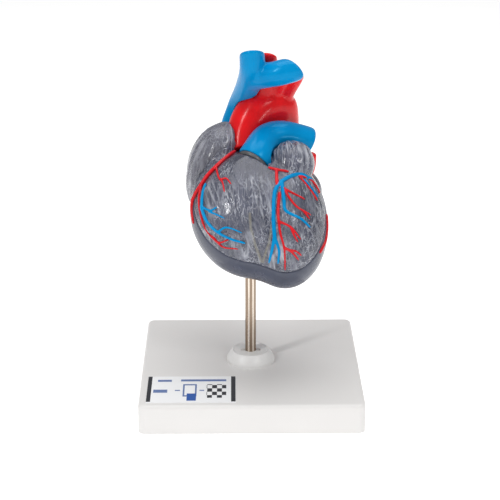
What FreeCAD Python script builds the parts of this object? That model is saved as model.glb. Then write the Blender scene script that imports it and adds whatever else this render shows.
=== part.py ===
"""Human heart anatomy model on a stand: a translucent two-part heart with coloured great vessels.

Frame: +Z up, origin at the middle of the stand's underside. The front of the heart faces -Y.
The heart lies in a frame of its own that leans back: its x is the width, its y the depth (towards the
back) and its z the height. The great vessels rise from it in an upright frame with the same centre.
Both frames are drawn for a heart that is NOMINAL_WIDTH wide and follow the cell heart_width.
"""
import FreeCAD, Part
import Sketcher
import math
import os
from FreeCAD import Placement, Rotation, Vector

NOMINAL_WIDTH = 80.0
X_AXIS, Y_AXIS, Z_AXIS = Vector(1, 0, 0), Vector(0, 1, 0), Vector(0, 0, 1)

# ---------------------------------------------------------------- driving dimensions
SIZES = [
    # alias, value in mm or degrees, what it is
    ("base_width", 120.0, "side of the square base plate"),
    ("base_height", 16.0, "height of the base plate"),
    ("base_wall", 2.4, "wall of the base plate, sides and top"),
    ("corner_radius", 4.0, "vertical corners of the base plate"),
    ("edge_radius", 2.0, "rounded top edge of the base plate"),
    ("cover_thickness", 1.6, "closing cover under the base plate"),
    ("cover_gap", 0.2, "gap round the closing cover"),
    ("post_diameter", 7.0, "screw posts inside the base plate"),
    ("post_inset", 12.0, "screw posts, from the plate's sides"),
    ("screw_diameter", 2.5, "shank of the cover screws"),
    ("screw_length", 8.0, "shank length of the cover screws"),
    ("screw_head_diameter", 4.6, "flat head of the cover screws"),
    ("screw_head_gap", 0.05, "radial gap round the screw heads"),
    ("screw_sink", 0.2, "screw heads below the cover's face, and shanks short of their holes"),
    ("screw_slot_length", 2.6, "slot in the screw heads"),
    ("screw_slot_width", 0.6, "width and depth of that slot"),
    ("collar_foot_diameter", 26.6, "collar where it sits on the plate"),
    ("collar_top_diameter", 20.0, "flat top of the collar"),
    ("collar_height", 6.6, "collar above the plate"),
    ("collar_spigot_diameter", 15.0, "collar spigot through the plate"),
    ("collar_slot_length", 11.0, "shallow slot in the collar's top"),
    ("collar_slot_width", 2.6, "width of that slot"),
    ("collar_slot_depth", 1.6, "depth of that slot"),
    ("rod_diameter", 6.0, "steel support rod"),
    ("rod_clearance", 0.05, "radial running clearance of the rod in its bores"),
    ("rod_chamfer", 0.6, "chamfered ends of the rod"),
    ("rod_end_gap", 0.1, "rod's ends to the cover and to the end of the bush"),
    ("label_width", 47.5, "blank label on the plate, along x"),
    ("label_depth", 33.0, "blank label on the plate, along y"),
    ("label_thickness", 0.2, "thickness of the label"),
    ("label_inset", 4.2, "label to the plate's left and front sides"),
    ("heart_width", 80.0, "width over the two ventricles"),
    ("heart_gap", 51.0, "lowest point of the heart above the plate"),
    ("lean", 45.0, "degrees that the heart leans back"),
    ("right_wall", 4.0, "wall of the right ventricle"),
    ("left_wall", 8.0, "wall of the left ventricle and septum"),
    ("atrium_wall", 3.0, "wall of the atria and of the auricle"),
    ("vessel_wall", 2.0, "wall of the great vessels"),
    ("vein_wall", 1.3, "wall of the pulmonary vein stubs"),
    ("parting_depth", 10.0, "parting plane in front of the heart's middle"),
    ("parting_gap", 0.1, "front wall to the parting plane"),
    ("seam_gap", 0.15, "gap between pieces that move apart or are bonded"),
    ("pin_diameter", 2.4, "locating pins of the front wall"),
    ("pin_clearance", 0.05, "radial clearance of the pins in the front wall"),
    ("pin_length", 6.5, "locating pins, overall"),
    ("pin_reach", 1.5, "locating pins, length inside the front wall"),
    ("socket_wall", 2.0, "wall of the bush that holds the rod"),
    ("socket_depth", 24.0, "depth of the rod inside the bush"),
    ("artery_radius", 1.25, "trunks of the coronary arteries and veins"),
    ("branch_radius", 0.75, "branches of the coronary vessels"),
    ("fibre_radius", 0.7, "conduction fibres"),
]

doc = FreeCAD.newDocument("heart_model")
sheet = doc.addObject("Spreadsheet::Sheet", "sizes")
for row, (alias, value, meaning) in enumerate(SIZES, start=1):
    sheet.set(f"A{row}", meaning)
    sheet.set(f"B{row}", str(value))
    sheet.setAlias(f"B{row}", alias)
doc.recompute()


def size(alias):
    """The value of one cell of the sheet."""
    return float(sheet.get(alias))


# The ellipsoids of the heart, drawn for the nominal width: centre and half width, depth and height, and
# the tilt that swings the top towards -x. The right atrium stands upright, the others lean.
RIGHT = dict(centre=(-5, 0, 0), radii=(32.3, 28.5, 36.5), tilt=18)
LEFT = dict(centre=(11.7, 0, -5), radii=(24.6, 28, 37), tilt=4)
CONUS = dict(centre=(-5, -14, 16), radii=(12.5, 12, 17), tilt=-30)
RIGHT_ATRIUM = dict(centre=(-20.5, 24, 15.8), radii=(19.5, 19, 28.2), tilt=-8)
LEFT_ATRIUM = dict(centre=(12, 20, 24), radii=(23, 15, 16), tilt=0)
AURICLE = dict(centre=(18, -6, 25), radii=(11, 12, 14), tilt=0)
LOBE = dict(centre=(17.5, -17, 22), radii=(11.5, 9.5, 12.5), tilt=10)  # the auricle's tip, on the front wall
LOBE_SPACE = dict(centre=(17.5, -15, 22), radii=(11.5, 11.5, 12.5), tilt=10)  # its hollow, open at the back

SCALE = size("heart_width") / NOMINAL_WIDTH
LEANING = Rotation(X_AXIS, -size("lean"))


def reach_down(centre, radii, tilt):
    """How far a leaning ellipsoid reaches below the heart's centre."""
    down = LEANING.inverted().multVec(Vector(0, 0, -1))
    own = Rotation(Y_AXIS, tilt).multVec(down)
    spread = math.hypot(own.x * radii[0], own.y * radii[1], own.z * radii[2])
    return (Vector(*centre).dot(down) + spread) * SCALE


LOWEST = max(reach_down(**RIGHT), reach_down(**LEFT))
HEART_CENTRE = Vector(5.0 * SCALE, -4.0 * SCALE, size("base_height") + size("heart_gap") + LOWEST)
HEART_FRAME = Placement(HEART_CENTRE, LEANING)
UPRIGHT_FRAME = Placement(HEART_CENTRE, Rotation())
PULL = LEANING.multVec(Vector(0, -1, 0))  # the way the front wall comes off
BIG = 3 * size("heart_width")


def in_heart(x, y, z):
    """A point of the leaning frame, given for the nominal heart."""
    return HEART_FRAME.multVec(Vector(x, y, z) * SCALE)


def upright(x, y, z):
    """A point of the upright frame, given for the nominal heart."""
    return UPRIGHT_FRAME.multVec(Vector(x, y, z) * SCALE)


# ---------------------------------------------------------------- helpers
def feature(name, shape):
    """A document object that holds a computed shape."""
    made = doc.addObject("Part::Feature", name)
    made.Shape = shape
    return made


def ellipsoid(name, spec, thinner="", frame=HEART_FRAME):
    """An ellipsoid with its poles front and back, thinner by a cell of the sheet if one is named."""
    made = doc.addObject("Part::Ellipsoid", name)
    less = f" - sizes.{thinner} * 1 mm" if thinner else ""
    for prop, radius in zip(("Radius2", "Radius1", "Radius3"), spec["radii"]):
        made.setExpression(prop, f"{radius} mm * sizes.heart_width / {NOMINAL_WIDTH}{less}")
    made.Angle1, made.Angle2, made.Angle3 = -90, 90, 360
    turn = Rotation(Y_AXIS, -spec["tilt"]).multiply(Rotation(X_AXIS, -90))
    made.Placement = frame.multiply(Placement(Vector(*spec["centre"]) * SCALE, turn))
    return made


def leave(spec, wall, start, way):
    """Where a line leaves an ellipsoid that is thinner by a wall, in millimetres of its own frame."""
    turn = Rotation(Y_AXIS, spec["tilt"])
    radii = [r * SCALE - wall for r in spec["radii"]]
    here = turn.multVec(start - Vector(*spec["centre"]) * SCALE)
    ahead = turn.multVec(way)
    here = Vector(here.x / radii[0], here.y / radii[1], here.z / radii[2])
    ahead = Vector(ahead.x / radii[0], ahead.y / radii[1], ahead.z / radii[2])
    square_root = here.dot(ahead) ** 2 - ahead.dot(ahead) * (here.dot(here) - 1)
    if square_root < 0:
        return None
    return start + way * ((math.sqrt(square_root) - here.dot(ahead)) / ahead.dot(ahead))


def fuse(name, *parts):
    made = doc.addObject("Part::MultiFuse", name)
    made.Shapes = list(parts)
    made.Refine = False
    return made


def cut(name, base, tool):
    made = doc.addObject("Part::Cut", name)
    made.Base, made.Tool, made.Refine = base, tool, False
    return made


def largest(name, body):
    """The largest solid of a body, without the slivers that its cuts leave."""
    return feature(name, max(body.Shape.Solids, key=lambda solid: solid.Volume))


def carve(name, base, *tools):
    """A solid less several others, one after the other."""
    for i, tool in enumerate(tools, start=1):
        base = cut(name if i == len(tools) else f"{name}_less_{i}", base, tool)
    return base


def common(name, first, second):
    made = doc.addObject("Part::Common", name)
    made.Base, made.Tool, made.Refine = first, second, False
    return made


def headings(points):
    """A direction of travel at each point of a path."""
    found = []
    for i in range(len(points)):
        before, after = points[max(i - 1, 0)], points[min(i + 1, len(points) - 1)]
        found.append((after - before).normalize())
    return found


def tube(points, radii, start=0.0, end=0.0, seam=0.0):
    """A solid through circles at the points, made longer at either end by start and end.

    seam turns the line where its surface closes, so that the seams of nested tubes lie apart.
    """
    points = [Vector(p) for p in points]
    ways = headings(points)
    points[0] = points[0] - ways[0] * start
    points[-1] = points[-1] + ways[-1] * end
    side = Rotation(ways[0], seam).multVec(X_AXIS if abs(ways[0].x) < 0.7 else Y_AXIS)
    wires = []
    for point, radius, way in zip(points, radii, ways):
        side = (side - way * side.dot(way)).normalize()  # carried along without a twist
        circle = Part.makeCircle(radius)
        circle.Placement = Placement(point, Rotation(side, way.cross(side), way, "ZXY"))
        wires.append(Part.Wire(circle))
    return Part.makeLoft(wires, True, True)


def ball(centre, radius):
    return Part.makeSphere(radius, centre)


def rod_between(start, end, radius, end_radius=None):
    """A cylinder, or a cone if its two radii differ."""
    way = end - start
    if end_radius is None or abs(end_radius - radius) < 1e-6:
        return Part.makeCylinder(radius, way.Length, start, way)
    return Part.makeCone(radius, end_radius, way.Length, start, way)


def between(points, steps):
    """More points on a smooth curve through the given ones."""
    ends = [points[0] * 2 - points[1]] + points + [points[-1] * 2 - points[-2]]
    found = []
    for i in range(1, len(ends) - 2):
        a, b, c, d = ends[i - 1:i + 3]
        for k in range(steps):
            t = k / steps
            curve = b * 2 + (c - a) * t + (a * 2 - b * 5 + c * 4 - d) * t ** 2
            found.append((curve + (b * 3 - a - c * 3 + d) * t ** 3) * 0.5)
    return found + [points[-1]]


def half_space(name, depth, front):
    """Everything in front of, or behind, a plane of the leaning frame at that depth."""
    box = Part.makeBox(BIG, BIG, BIG, Vector(-BIG / 2, depth - BIG if front else depth, -BIG / 2))
    box.Placement = HEART_FRAME
    return feature(name, box)


def swept_forward(name, solid, depth):
    """The outline that a solid has at a depth of the leaning frame, swept along the front wall's pull."""
    plane = Part.makePlane(BIG, BIG, Vector(-BIG / 2, depth, -BIG / 2), Vector(0, -1, 0), X_AXIS)
    plane.Placement = HEART_FRAME.multiply(plane.Placement)
    outline = plane.common(solid.Shape)
    return feature(name, outline.extrude(PULL * BIG / 2))


# ---------------------------------------------------------------- stand
def origin_plane(body, role):
    return next(f for f in body.Origin.OriginFeatures if f.Role == role)


def sketch_on(body, name, role):
    made = body.newObject("Sketcher::SketchObject", name)
    made.AttachmentSupport = [(origin_plane(body, role), "")]
    made.MapMode = "FlatFace"
    return made


def square(sketch, side):
    """A square about the origin whose side follows an expression."""
    corners = [Vector(-9, -9, 0), Vector(9, -9, 0), Vector(9, 9, 0), Vector(-9, 9, 0)]
    for i in range(4):
        sketch.addGeometry(Part.LineSegment(corners[i], corners[(i + 1) % 4]), False)
    for i in range(4):
        sketch.addConstraint(Sketcher.Constraint("Coincident", i, 2, (i + 1) % 4, 1))
    for i in (0, 2):
        sketch.addConstraint(Sketcher.Constraint("Horizontal", i))
        sketch.addConstraint(Sketcher.Constraint("Vertical", i + 1))
    sketch.addConstraint(Sketcher.Constraint("Symmetric", 0, 1, 1, 2, -1, 1))
    width = sketch.addConstraint(Sketcher.Constraint("Distance", 0, 18.0))
    height = sketch.addConstraint(Sketcher.Constraint("Distance", 1, 18.0))
    sketch.setExpression(f"Constraints[{width}]", side)
    sketch.setExpression(f"Constraints[{height}]", side)


def circles(sketch, centres, diameter):
    """Circles of one diameter, each held at a pair of (value, expression) of its own."""
    for (x, x_expression), (y, y_expression) in centres:
        i = sketch.addGeometry(Part.Circle(Vector(x, y, 0), Z_AXIS, 1.0), False)
        across = sketch.addConstraint(Sketcher.Constraint("DistanceX", -1, 1, i, 3, x))
        up = sketch.addConstraint(Sketcher.Constraint("DistanceY", -1, 1, i, 3, y))
        around = sketch.addConstraint(Sketcher.Constraint("Diameter", i, 2.0))
        sketch.setExpression(f"Constraints[{across}]", x_expression)
        sketch.setExpression(f"Constraints[{up}]", y_expression)
        sketch.setExpression(f"Constraints[{around}]", diameter)


def middle_circle(sketch, diameter):
    """A circle about the origin."""
    i = sketch.addGeometry(Part.Circle(Vector(), Z_AXIS, 1.0), False)
    sketch.addConstraint(Sketcher.Constraint("Coincident", i, 3, -1, 1))
    around = sketch.addConstraint(Sketcher.Constraint("Diameter", i, 2.0))
    sketch.setExpression(f"Constraints[{around}]", diameter)


def pad(body, name, profile, length, reverse=False):
    made = body.newObject("PartDesign::Pad", name)
    made.Profile = profile
    made.Reversed = reverse
    made.setExpression("Length", length)
    return made


def pocket(body, name, profile, depth, reverse):
    made = body.newObject("PartDesign::Pocket", name)
    made.Profile = profile
    made.Reversed = reverse
    made.setExpression("Length", depth)
    return made


def edges_where(solid, test):
    """Names of the straight edges whose two end points pass a test."""
    found = []
    for i, edge in enumerate(solid.Shape.Edges, start=1):
        if len(edge.Vertexes) == 2 and test(edge.Vertexes[0].Point, edge.Vertexes[1].Point):
            found.append(f"Edge{i}")
    return found


def post_centres():
    """The four screw posts, each coordinate as its value and its expression."""
    reach = size("base_width") / 2 - size("post_inset")
    words = "(sizes.base_width / 2 - sizes.post_inset)"
    sides = [(reach, words), (-reach, "-" + words)]
    return [(x, y) for x in sides for y in sides]


def make_base_plate():
    body = doc.addObject("PartDesign::Body", "base_plate")
    outline = sketch_on(body, "base_outline", "XY_Plane")
    square(outline, "sizes.base_width")
    block = pad(body, "base_block", outline, "sizes.base_height")
    doc.recompute()
    corners = body.newObject("PartDesign::Fillet", "base_corners")
    upright_edges = edges_where(block, lambda a, b: abs(a.z - b.z) > 1)
    corners.Base = (block, upright_edges)
    corners.setExpression("Radius", "sizes.corner_radius")
    doc.recompute()
    rim = body.newObject("PartDesign::Fillet", "base_rim")
    top = size("base_height")
    top_edges = edges_where(corners, lambda a, b: abs(a.z - top) < 0.01 and abs(b.z - top) < 0.01)
    rim.Base = (corners, top_edges)
    rim.setExpression("Radius", "sizes.edge_radius")
    hollow = sketch_on(body, "hollow_outline", "XY_Plane")
    square(hollow, "sizes.base_width - 2 * sizes.base_wall")
    pocket(body, "base_hollow", hollow, "sizes.base_height - sizes.base_wall", True)
    posts = sketch_on(body, "post_outline", "XY_Plane")
    posts.setExpression("AttachmentOffset.Base.z", "sizes.cover_thickness * 1 mm")
    circles(posts, post_centres(), "sizes.post_diameter")
    pad(body, "screw_posts", posts, "sizes.base_height - sizes.cover_thickness - sizes.base_wall / 2")
    holes = sketch_on(body, "post_hole_outline", "XY_Plane")
    circles(holes, post_centres(), "sizes.screw_diameter")
    pocket(body, "post_holes", holes, "sizes.cover_thickness + sizes.screw_length", True)
    middle = sketch_on(body, "collar_hole_outline", "XY_Plane")
    middle_circle(middle, "sizes.collar_spigot_diameter")
    body.Tip = pocket(body, "collar_hole", middle, "2 * sizes.base_height", True)
    doc.recompute()
    return body


def make_base_cover():
    body = doc.addObject("PartDesign::Body", "base_cover")
    outline = sketch_on(body, "cover_outline", "XY_Plane")
    square(outline, "sizes.base_width - 2 * sizes.base_wall - 2 * sizes.cover_gap")
    pad(body, "cover_sheet", outline, "sizes.cover_thickness")
    doc.recompute()
    seats = body.newObject("PartDesign::Pocket", "screw_seats")
    seat_outline = sketch_on(body, "seat_outline", "XY_Plane")
    circles(seat_outline, post_centres(), "sizes.screw_head_diameter + 2 * sizes.screw_head_gap")
    seats.Profile = seat_outline
    seats.Reversed = True
    seats.setExpression("Length", "2 * sizes.cover_thickness")
    body.Tip = seats
    doc.recompute()
    return body


def make_cover_screws():
    """Four screws whose flat heads fill the cover's seats and whose shanks fill the posts' holes."""
    solids = []
    sink = size("screw_sink")
    thickness = size("cover_thickness")
    slot_length, slot_width = size("screw_slot_length"), size("screw_slot_width")
    drive = Part.makeBox(slot_length, slot_width, slot_width, Vector(-slot_length / 2, -slot_width / 2, 0))
    for (x, _), (y, _) in post_centres():
        foot = Vector(x, y, sink)
        shank = Part.makeCylinder(size("screw_diameter") / 2, thickness + size("screw_length") - 2 * sink, foot)
        head = Part.makeCylinder(size("screw_head_diameter") / 2, thickness - sink, foot)
        slot = drive.copy()
        slot.translate(foot)
        solids.append(head.fuse(shank).cut(slot))
    return feature("cover_screws", Part.makeCompound(solids))


def make_rod_collar():
    """A domed collar with a spigot through the plate, turned about Z, and a slot in its top."""
    seat, top = size("base_height"), size("base_height") + size("collar_height")
    foot, brim = size("collar_foot_diameter") / 2, size("collar_top_diameter") / 2
    spigot = size("collar_spigot_diameter") / 2
    bore = size("rod_diameter") / 2 + size("rod_clearance")
    floor = size("cover_thickness")
    dish = 0.5  # the top is dished by this much inside a narrow lip
    lip = 1.0
    rim = 1.6  # upright rim round the foot
    bulge = 0.4  # the dome stands out this far from a straight cone
    shoulder_height = 0.62 * size("collar_height")
    shoulder = Vector((foot + brim) / 2 + bulge, 0, seat + shoulder_height)
    edges = [
        Part.LineSegment(Vector(bore, 0, floor), Vector(spigot, 0, floor)),
        Part.LineSegment(Vector(spigot, 0, floor), Vector(spigot, 0, seat)),
        Part.LineSegment(Vector(spigot, 0, seat), Vector(foot, 0, seat)),
        Part.LineSegment(Vector(foot, 0, seat), Vector(foot, 0, seat + rim)),
        Part.Arc(Vector(foot, 0, seat + rim), shoulder, Vector(brim, 0, top)),
        Part.LineSegment(Vector(brim, 0, top), Vector(brim - lip, 0, top - dish)),
        Part.LineSegment(Vector(brim - lip, 0, top - dish), Vector(bore, 0, top - dish)),
        Part.LineSegment(Vector(bore, 0, top - dish), Vector(bore, 0, floor)),
    ]
    ring = Part.Face(Part.Wire([e.toShape() for e in edges])).revolve(Vector(), Z_AXIS, 360)
    length, width = size("collar_slot_length"), size("collar_slot_width")
    slot = Part.makeBox(length, width, size("collar_height"),
                        Vector(-length / 2, -width / 2, top - dish - size("collar_slot_depth")))
    return feature("rod_collar", ring.cut(slot))


def make_support_rod(top):
    """The steel rod, from the cover up to the end of the bush in the heart."""
    radius, cham = size("rod_diameter") / 2, size("rod_chamfer")
    rod = doc.addObject("Part::Cylinder", "rod_bar")
    rod.setExpression("Radius", "sizes.rod_diameter / 2")
    foot = size("cover_thickness") + size("rod_end_gap")
    rod.Height = top - foot
    rod.Placement = Placement(Vector(0, 0, foot), Rotation())
    doc.recompute()
    ends = doc.addObject("Part::Chamfer", "support_rod")
    ends.Base = rod
    rims = [i for i, e in enumerate(rod.Shape.Edges, start=1)
            if len(e.Vertexes) == 1 and abs(e.Length - 2 * math.pi * radius) < 0.01]
    ends.Edges = [(i, cham, cham) for i in rims]
    return ends


def make_label():
    """A blank adhesive label on the front left of the plate."""
    label = doc.addObject("Part::Box", "label")
    label.setExpression("Length", "sizes.label_width")
    label.setExpression("Width", "sizes.label_depth")
    label.setExpression("Height", "sizes.label_thickness")
    corner = -size("base_width") / 2 + size("label_inset")
    label.Placement = Placement(Vector(corner, corner, size("base_height")), Rotation())
    return label


base_plate = make_base_plate()
base_cover = make_base_cover()
cover_screws = make_cover_screws()
rod_collar = make_rod_collar()
label = make_label()

# ---------------------------------------------------------------- outer shapes of the heart
PARTING = -size("parting_depth")
GAP = size("seam_gap")

right_outer = ellipsoid("right_outer", RIGHT)
left_outer = ellipsoid("left_outer", LEFT)
conus_outer = ellipsoid("conus_outer", CONUS)
right_front = ellipsoid("right_front", RIGHT, "seam_gap")
left_front = ellipsoid("left_front", LEFT, "seam_gap")
conus_front = ellipsoid("conus_front", CONUS, "seam_gap")
right_inner = ellipsoid("right_inner", RIGHT, "right_wall")
left_inner = ellipsoid("left_inner", LEFT, "left_wall")
conus_inner = ellipsoid("conus_inner", CONUS, "right_wall")
right_atrium_outer = ellipsoid("right_atrium_outer", RIGHT_ATRIUM, frame=UPRIGHT_FRAME)
right_atrium_inner = ellipsoid("right_atrium_inner", RIGHT_ATRIUM, "atrium_wall", UPRIGHT_FRAME)
right_atrium_front = ellipsoid("right_atrium_front", RIGHT_ATRIUM, "seam_gap", UPRIGHT_FRAME)
left_atrium_outer = ellipsoid("left_atrium_outer", LEFT_ATRIUM)
left_atrium_inner = ellipsoid("left_atrium_inner", LEFT_ATRIUM, "atrium_wall")
auricle_outer = ellipsoid("auricle_outer", AURICLE)
auricle_inner = ellipsoid("auricle_inner", AURICLE, "atrium_wall")
lobe_outer = ellipsoid("lobe_outer", LOBE)
lobe_front = ellipsoid("lobe_front", LOBE, "seam_gap")
lobe_inner = ellipsoid("lobe_inner", LOBE_SPACE, "atrium_wall")
doc.recompute()

# The pulmonary trunk stands on a slanted ring at the top of the conus.
RING_CENTRE = Vector(-3.1, -16, 22.7) * SCALE
RING_SLANT = 32  # degrees about the depth axis
RING_REACH = 9.6 * SCALE


def above_ring(name, lift):
    """The space over the ring, raised by a lift, as a box that runs through the whole depth."""
    box = Part.makeBox(2 * RING_REACH, BIG, BIG, Vector(-RING_REACH, -BIG / 2, lift))
    place = Placement(RING_CENTRE, Rotation(Y_AXIS, RING_SLANT))
    box.Placement = HEART_FRAME.multiply(place)
    return feature(name, box)


over_ring = above_ring("over_ring", 0.0)
over_front_ring = above_ring("over_front_ring", -GAP)

# ---------------------------------------------------------------- great vessels, upright frame
VESSELS = {
    # name: points of the centre line, radius at each point, longer by at its start
    "aorta": ([(-8.9, 22, 27.6), (-7.5, 26.5, 37), (-3.6, 29.5, 46), (3.5, 33.5, 51.6), (10.5, 38, 49.5),
               (12.5, 41, 42), (12.8, 42, 34)], [8.6, 9.2, 9.6, 9.6, 9.0, 8.2, 8.0], 8),
    "brachiocephalic_artery": ([(1.5, 30, 55.2), (4.1, 28, 66.9), (5.3, 24, 81.6)], [3.9, 3.7, 3.7], 0),
    "carotid_artery": ([(7, 32, 57), (10.7, 30, 64.1), (12.8, 28, 70.2)], [3.4, 3.4, 3.4], 0),
    "subclavian_artery": ([(12, 36, 54.8), (16.2, 33, 63.4), (19.9, 30, 70.2)], [4.4, 4.4, 4], 0),
    "superior_vein": ([(-14, 38, 37.5), (-12, 39, 43.2), (-9.3, 38.5, 51.6), (-6, 29, 63),
                       (-4, 17, 75.6), (-4.2, 14, 85.2)], [6.2, 6, 6, 6, 5.8, 5.5], 5),
    "brachiocephalic_vein": ([(-5.5, 26, 67), (1.6, 17, 71.5), (9.5, 12.5, 74.8), (14.5, 11.5, 76.8),
                              (19, 11, 78.2)], [4.6, 5.5, 5.6, 5.3, 5], 0),
    "pulmonary_trunk": ([(-3.1, 4.7, 27.4), (-0.2, 8.7, 31.5), (4.2, 16, 37), (12, 19, 38.8),
                         (20.5, 22, 36.2), (27.2, 24, 33)], [9, 8.4, 7.4, 6.4, 6.4, 6.8], 6),
    "right_pulmonary_artery": ([(8, 18, 37), (7, 28, 29.5), (2, 39, 26), (-8, 47, 24), (-22, 50, 22)],
                               [5, 5, 5, 5, 5], 0),
    "inferior_vein": ([(-22, 27, 0), (-21, 26, -21)], [7, 7], 0),
    "left_upper_vein": ([(23, 30, 7), (27.3, 30.5, 15), (26.6, 31, 25)], [3.6, 3.6, 3.6], 2),
    "left_lower_vein": ([(20, 38, 2), (24, 43, 2), (27, 48, 2)], [3.6, 3.6, 3.6], 2),
    "right_upper_vein": ([(-4, 42, 8), (-12, 50, 10), (-18, 54, 11)], [3.6, 3.6, 3.6], 6),
    "right_lower_vein": ([(-4, 42, -2), (-11, 50, -4), (-17, 53, -5)], [3.6, 3.6, 3.6], 6),
}


OVERRUN = 1.0  # lumens run this far past the ends of their vessels
SEAM_TURN = 40.0  # degrees between the closing lines of a vessel's two surfaces


def vessel(name, wall=0.0):
    """The outside of a great vessel, or its lumen if a wall is given."""
    points, radii, start = VESSELS[name]
    if len(points) == 2:
        first, last = upright(*points[0]), upright(*points[1])
        way = (last - first).normalize() * (OVERRUN if wall else 0.0)
        return rod_between(first - way, last + way, radii[0] * SCALE - wall)
    points = between([upright(*p) for p in points], 3)
    radii = [v.x for v in between([Vector(r, 0, 0) for r in radii], 3)]
    end = OVERRUN if wall else 0.0
    seam = SEAM_TURN if wall else 0.0
    return tube(points, [r * SCALE - wall for r in radii], start * SCALE + end, end, seam)


def joined(name, *names):
    """The outside of several great vessels as one shape."""
    shapes = [vessel(each) for each in names]
    return feature(name, shapes[0].multiFuse(shapes[1:]) if len(shapes) > 1 else shapes[0])


def lumens(wall, *names):
    """The bores of several great vessels."""
    return [feature(f"{each}_lumen", vessel(each, wall)) for each in names]


ARCH = ("aorta", "brachiocephalic_artery", "carotid_artery", "subclavian_artery")
CAVA = ("superior_vein", "brachiocephalic_vein")
TRUNK = ("pulmonary_trunk", "right_pulmonary_artery")
LEFT_VEINS = ("left_upper_vein", "left_lower_vein")
RIGHT_VEINS = ("right_upper_vein", "right_lower_vein")

arch_outer = joined("arch_outer", *ARCH)
cava_outer = joined("cava_outer", *CAVA)
trunk_outer = joined("trunk_outer", *TRUNK)
inferior_outer = joined("inferior_outer", "inferior_vein")
left_veins_outer = joined("left_veins_outer", *LEFT_VEINS)
right_veins_outer = joined("right_veins_outer", *RIGHT_VEINS)
arch_lumens = lumens(size("vessel_wall"), *ARCH)
cava_lumens = lumens(size("vessel_wall"), *CAVA)
trunk_lumens = lumens(size("vessel_wall"), *TRUNK)
inferior_lumens = lumens(size("vessel_wall"), "inferior_vein")
left_vein_lumens = lumens(size("vein_wall"), *LEFT_VEINS)
right_vein_lumens = lumens(size("vein_wall"), *RIGHT_VEINS)

# ---------------------------------------------------------------- rod and its bush in the heart
AXIS_LINE = Part.makeLine(Vector(0, 0, 0), Vector(0, 0, HEART_CENTRE.z))
walls_below = Part.makeCompound([right_outer.Shape, left_outer.Shape])
UNDERSIDE = AXIS_LINE.common(walls_below).BoundBox.ZMin  # of the heart, on the rod's axis
BUSH_PROUD = 1.0  # the bush stands out below the heart by this much
BUSH_FOOT = UNDERSIDE - BUSH_PROUD
BUSH_RADIUS = size("rod_diameter") / 2 + size("rod_clearance") + size("socket_wall")
ROD_TOP = UNDERSIDE + size("socket_depth")
BUSH_TOP = ROD_TOP + size("socket_wall")
BOSS_WALL = 3.0  # plastic of the heart round and over the bush
BOSS_RADIUS = BUSH_RADIUS + BOSS_WALL


def post(name, radius, low, high):
    """An upright cylinder about the rod's axis."""
    return feature(name, Part.makeCylinder(radius, high - low, Vector(0, 0, low)))


support_rod = make_support_rod(ROD_TOP - size("rod_end_gap"))
bush_body = post("bush_body", BUSH_RADIUS, BUSH_FOOT, BUSH_TOP)
bush_bore = post("bush_bore", size("rod_diameter") / 2 + size("rod_clearance"), 0, ROD_TOP)
boss = post("boss", BOSS_RADIUS, 0, BUSH_TOP + BOSS_WALL)
bush_hole = post("bush_hole", BUSH_RADIUS, 0, BUSH_TOP)
rod_socket = cut("rod_socket", bush_body, bush_bore)

# ---------------------------------------------------------------- ways between the chambers
VALVE = 8 * SCALE  # radius of the openings between atria and ventricles
OUTFLOW = 6.6 * SCALE


def heart_point(spec):
    """The centre of a leaning ellipsoid, in millimetres of the leaning frame."""
    return Vector(*spec["centre"]) * SCALE


def placed(point):
    return HEART_FRAME.multVec(point)


def passage(name, start, end, radius):
    """A round way through the walls between two points of the leaning frame."""
    return feature(name, rod_between(placed(start), placed(end), radius))


OVER_TRICUSPID = (-21.5, 24, 20.5)  # upright, where the way from the right atrium starts
ATRIUM_POINT = HEART_FRAME.inverse().multVec(upright(*OVER_TRICUSPID))
TRICUSPID_WAY = (heart_point(RIGHT) - ATRIUM_POINT).normalize()
MITRAL_WAY = (heart_point(LEFT) - heart_point(LEFT_ATRIUM)).normalize()
TRICUSPID = leave(RIGHT, 0.0, heart_point(RIGHT), TRICUSPID_WAY * -1)
MITRAL = leave(LEFT, 0.0, heart_point(LEFT), MITRAL_WAY * -1)
BEHIND_START, BEHIND_END = 2.4, -0.6  # plastic between the outflow and the parting plane
OUTFLOW_START = Vector(9 * SCALE, PARTING + OUTFLOW + BEHIND_START, 12 * SCALE)
OUTFLOW_END = Vector(-9.3 * SCALE, PARTING + OUTFLOW + BEHIND_END, 37 * SCALE)

SUPERIOR = upright(*VESSELS["superior_vein"][0][0])
SUPERIOR_BORE = VESSELS["superior_vein"][1][0] * SCALE - size("vessel_wall")
SUPERIOR_RISE, SUPERIOR_DROP = Vector(0, 0, 6), Vector(0, 0, 12)
superior_way = feature("superior_way", rod_between(SUPERIOR + SUPERIOR_RISE, SUPERIOR - SUPERIOR_DROP,
                                                   SUPERIOR_BORE))
PAST_TRICUSPID = TRICUSPID_WAY * 8 * SCALE  # how far the ways run into the ventricles
PAST_MITRAL = MITRAL_WAY * 12 * SCALE
tricuspid_way = passage("tricuspid_way", ATRIUM_POINT, TRICUSPID + PAST_TRICUSPID, VALVE)
mitral_way = passage("mitral_way", heart_point(LEFT_ATRIUM), MITRAL + PAST_MITRAL, VALVE)
outflow_way = passage("outflow_way", OUTFLOW_START, OUTFLOW_END, OUTFLOW)
outflow_wall = passage("outflow_wall", OUTFLOW_START, OUTFLOW_END, OUTFLOW + size("vessel_wall"))

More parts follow.
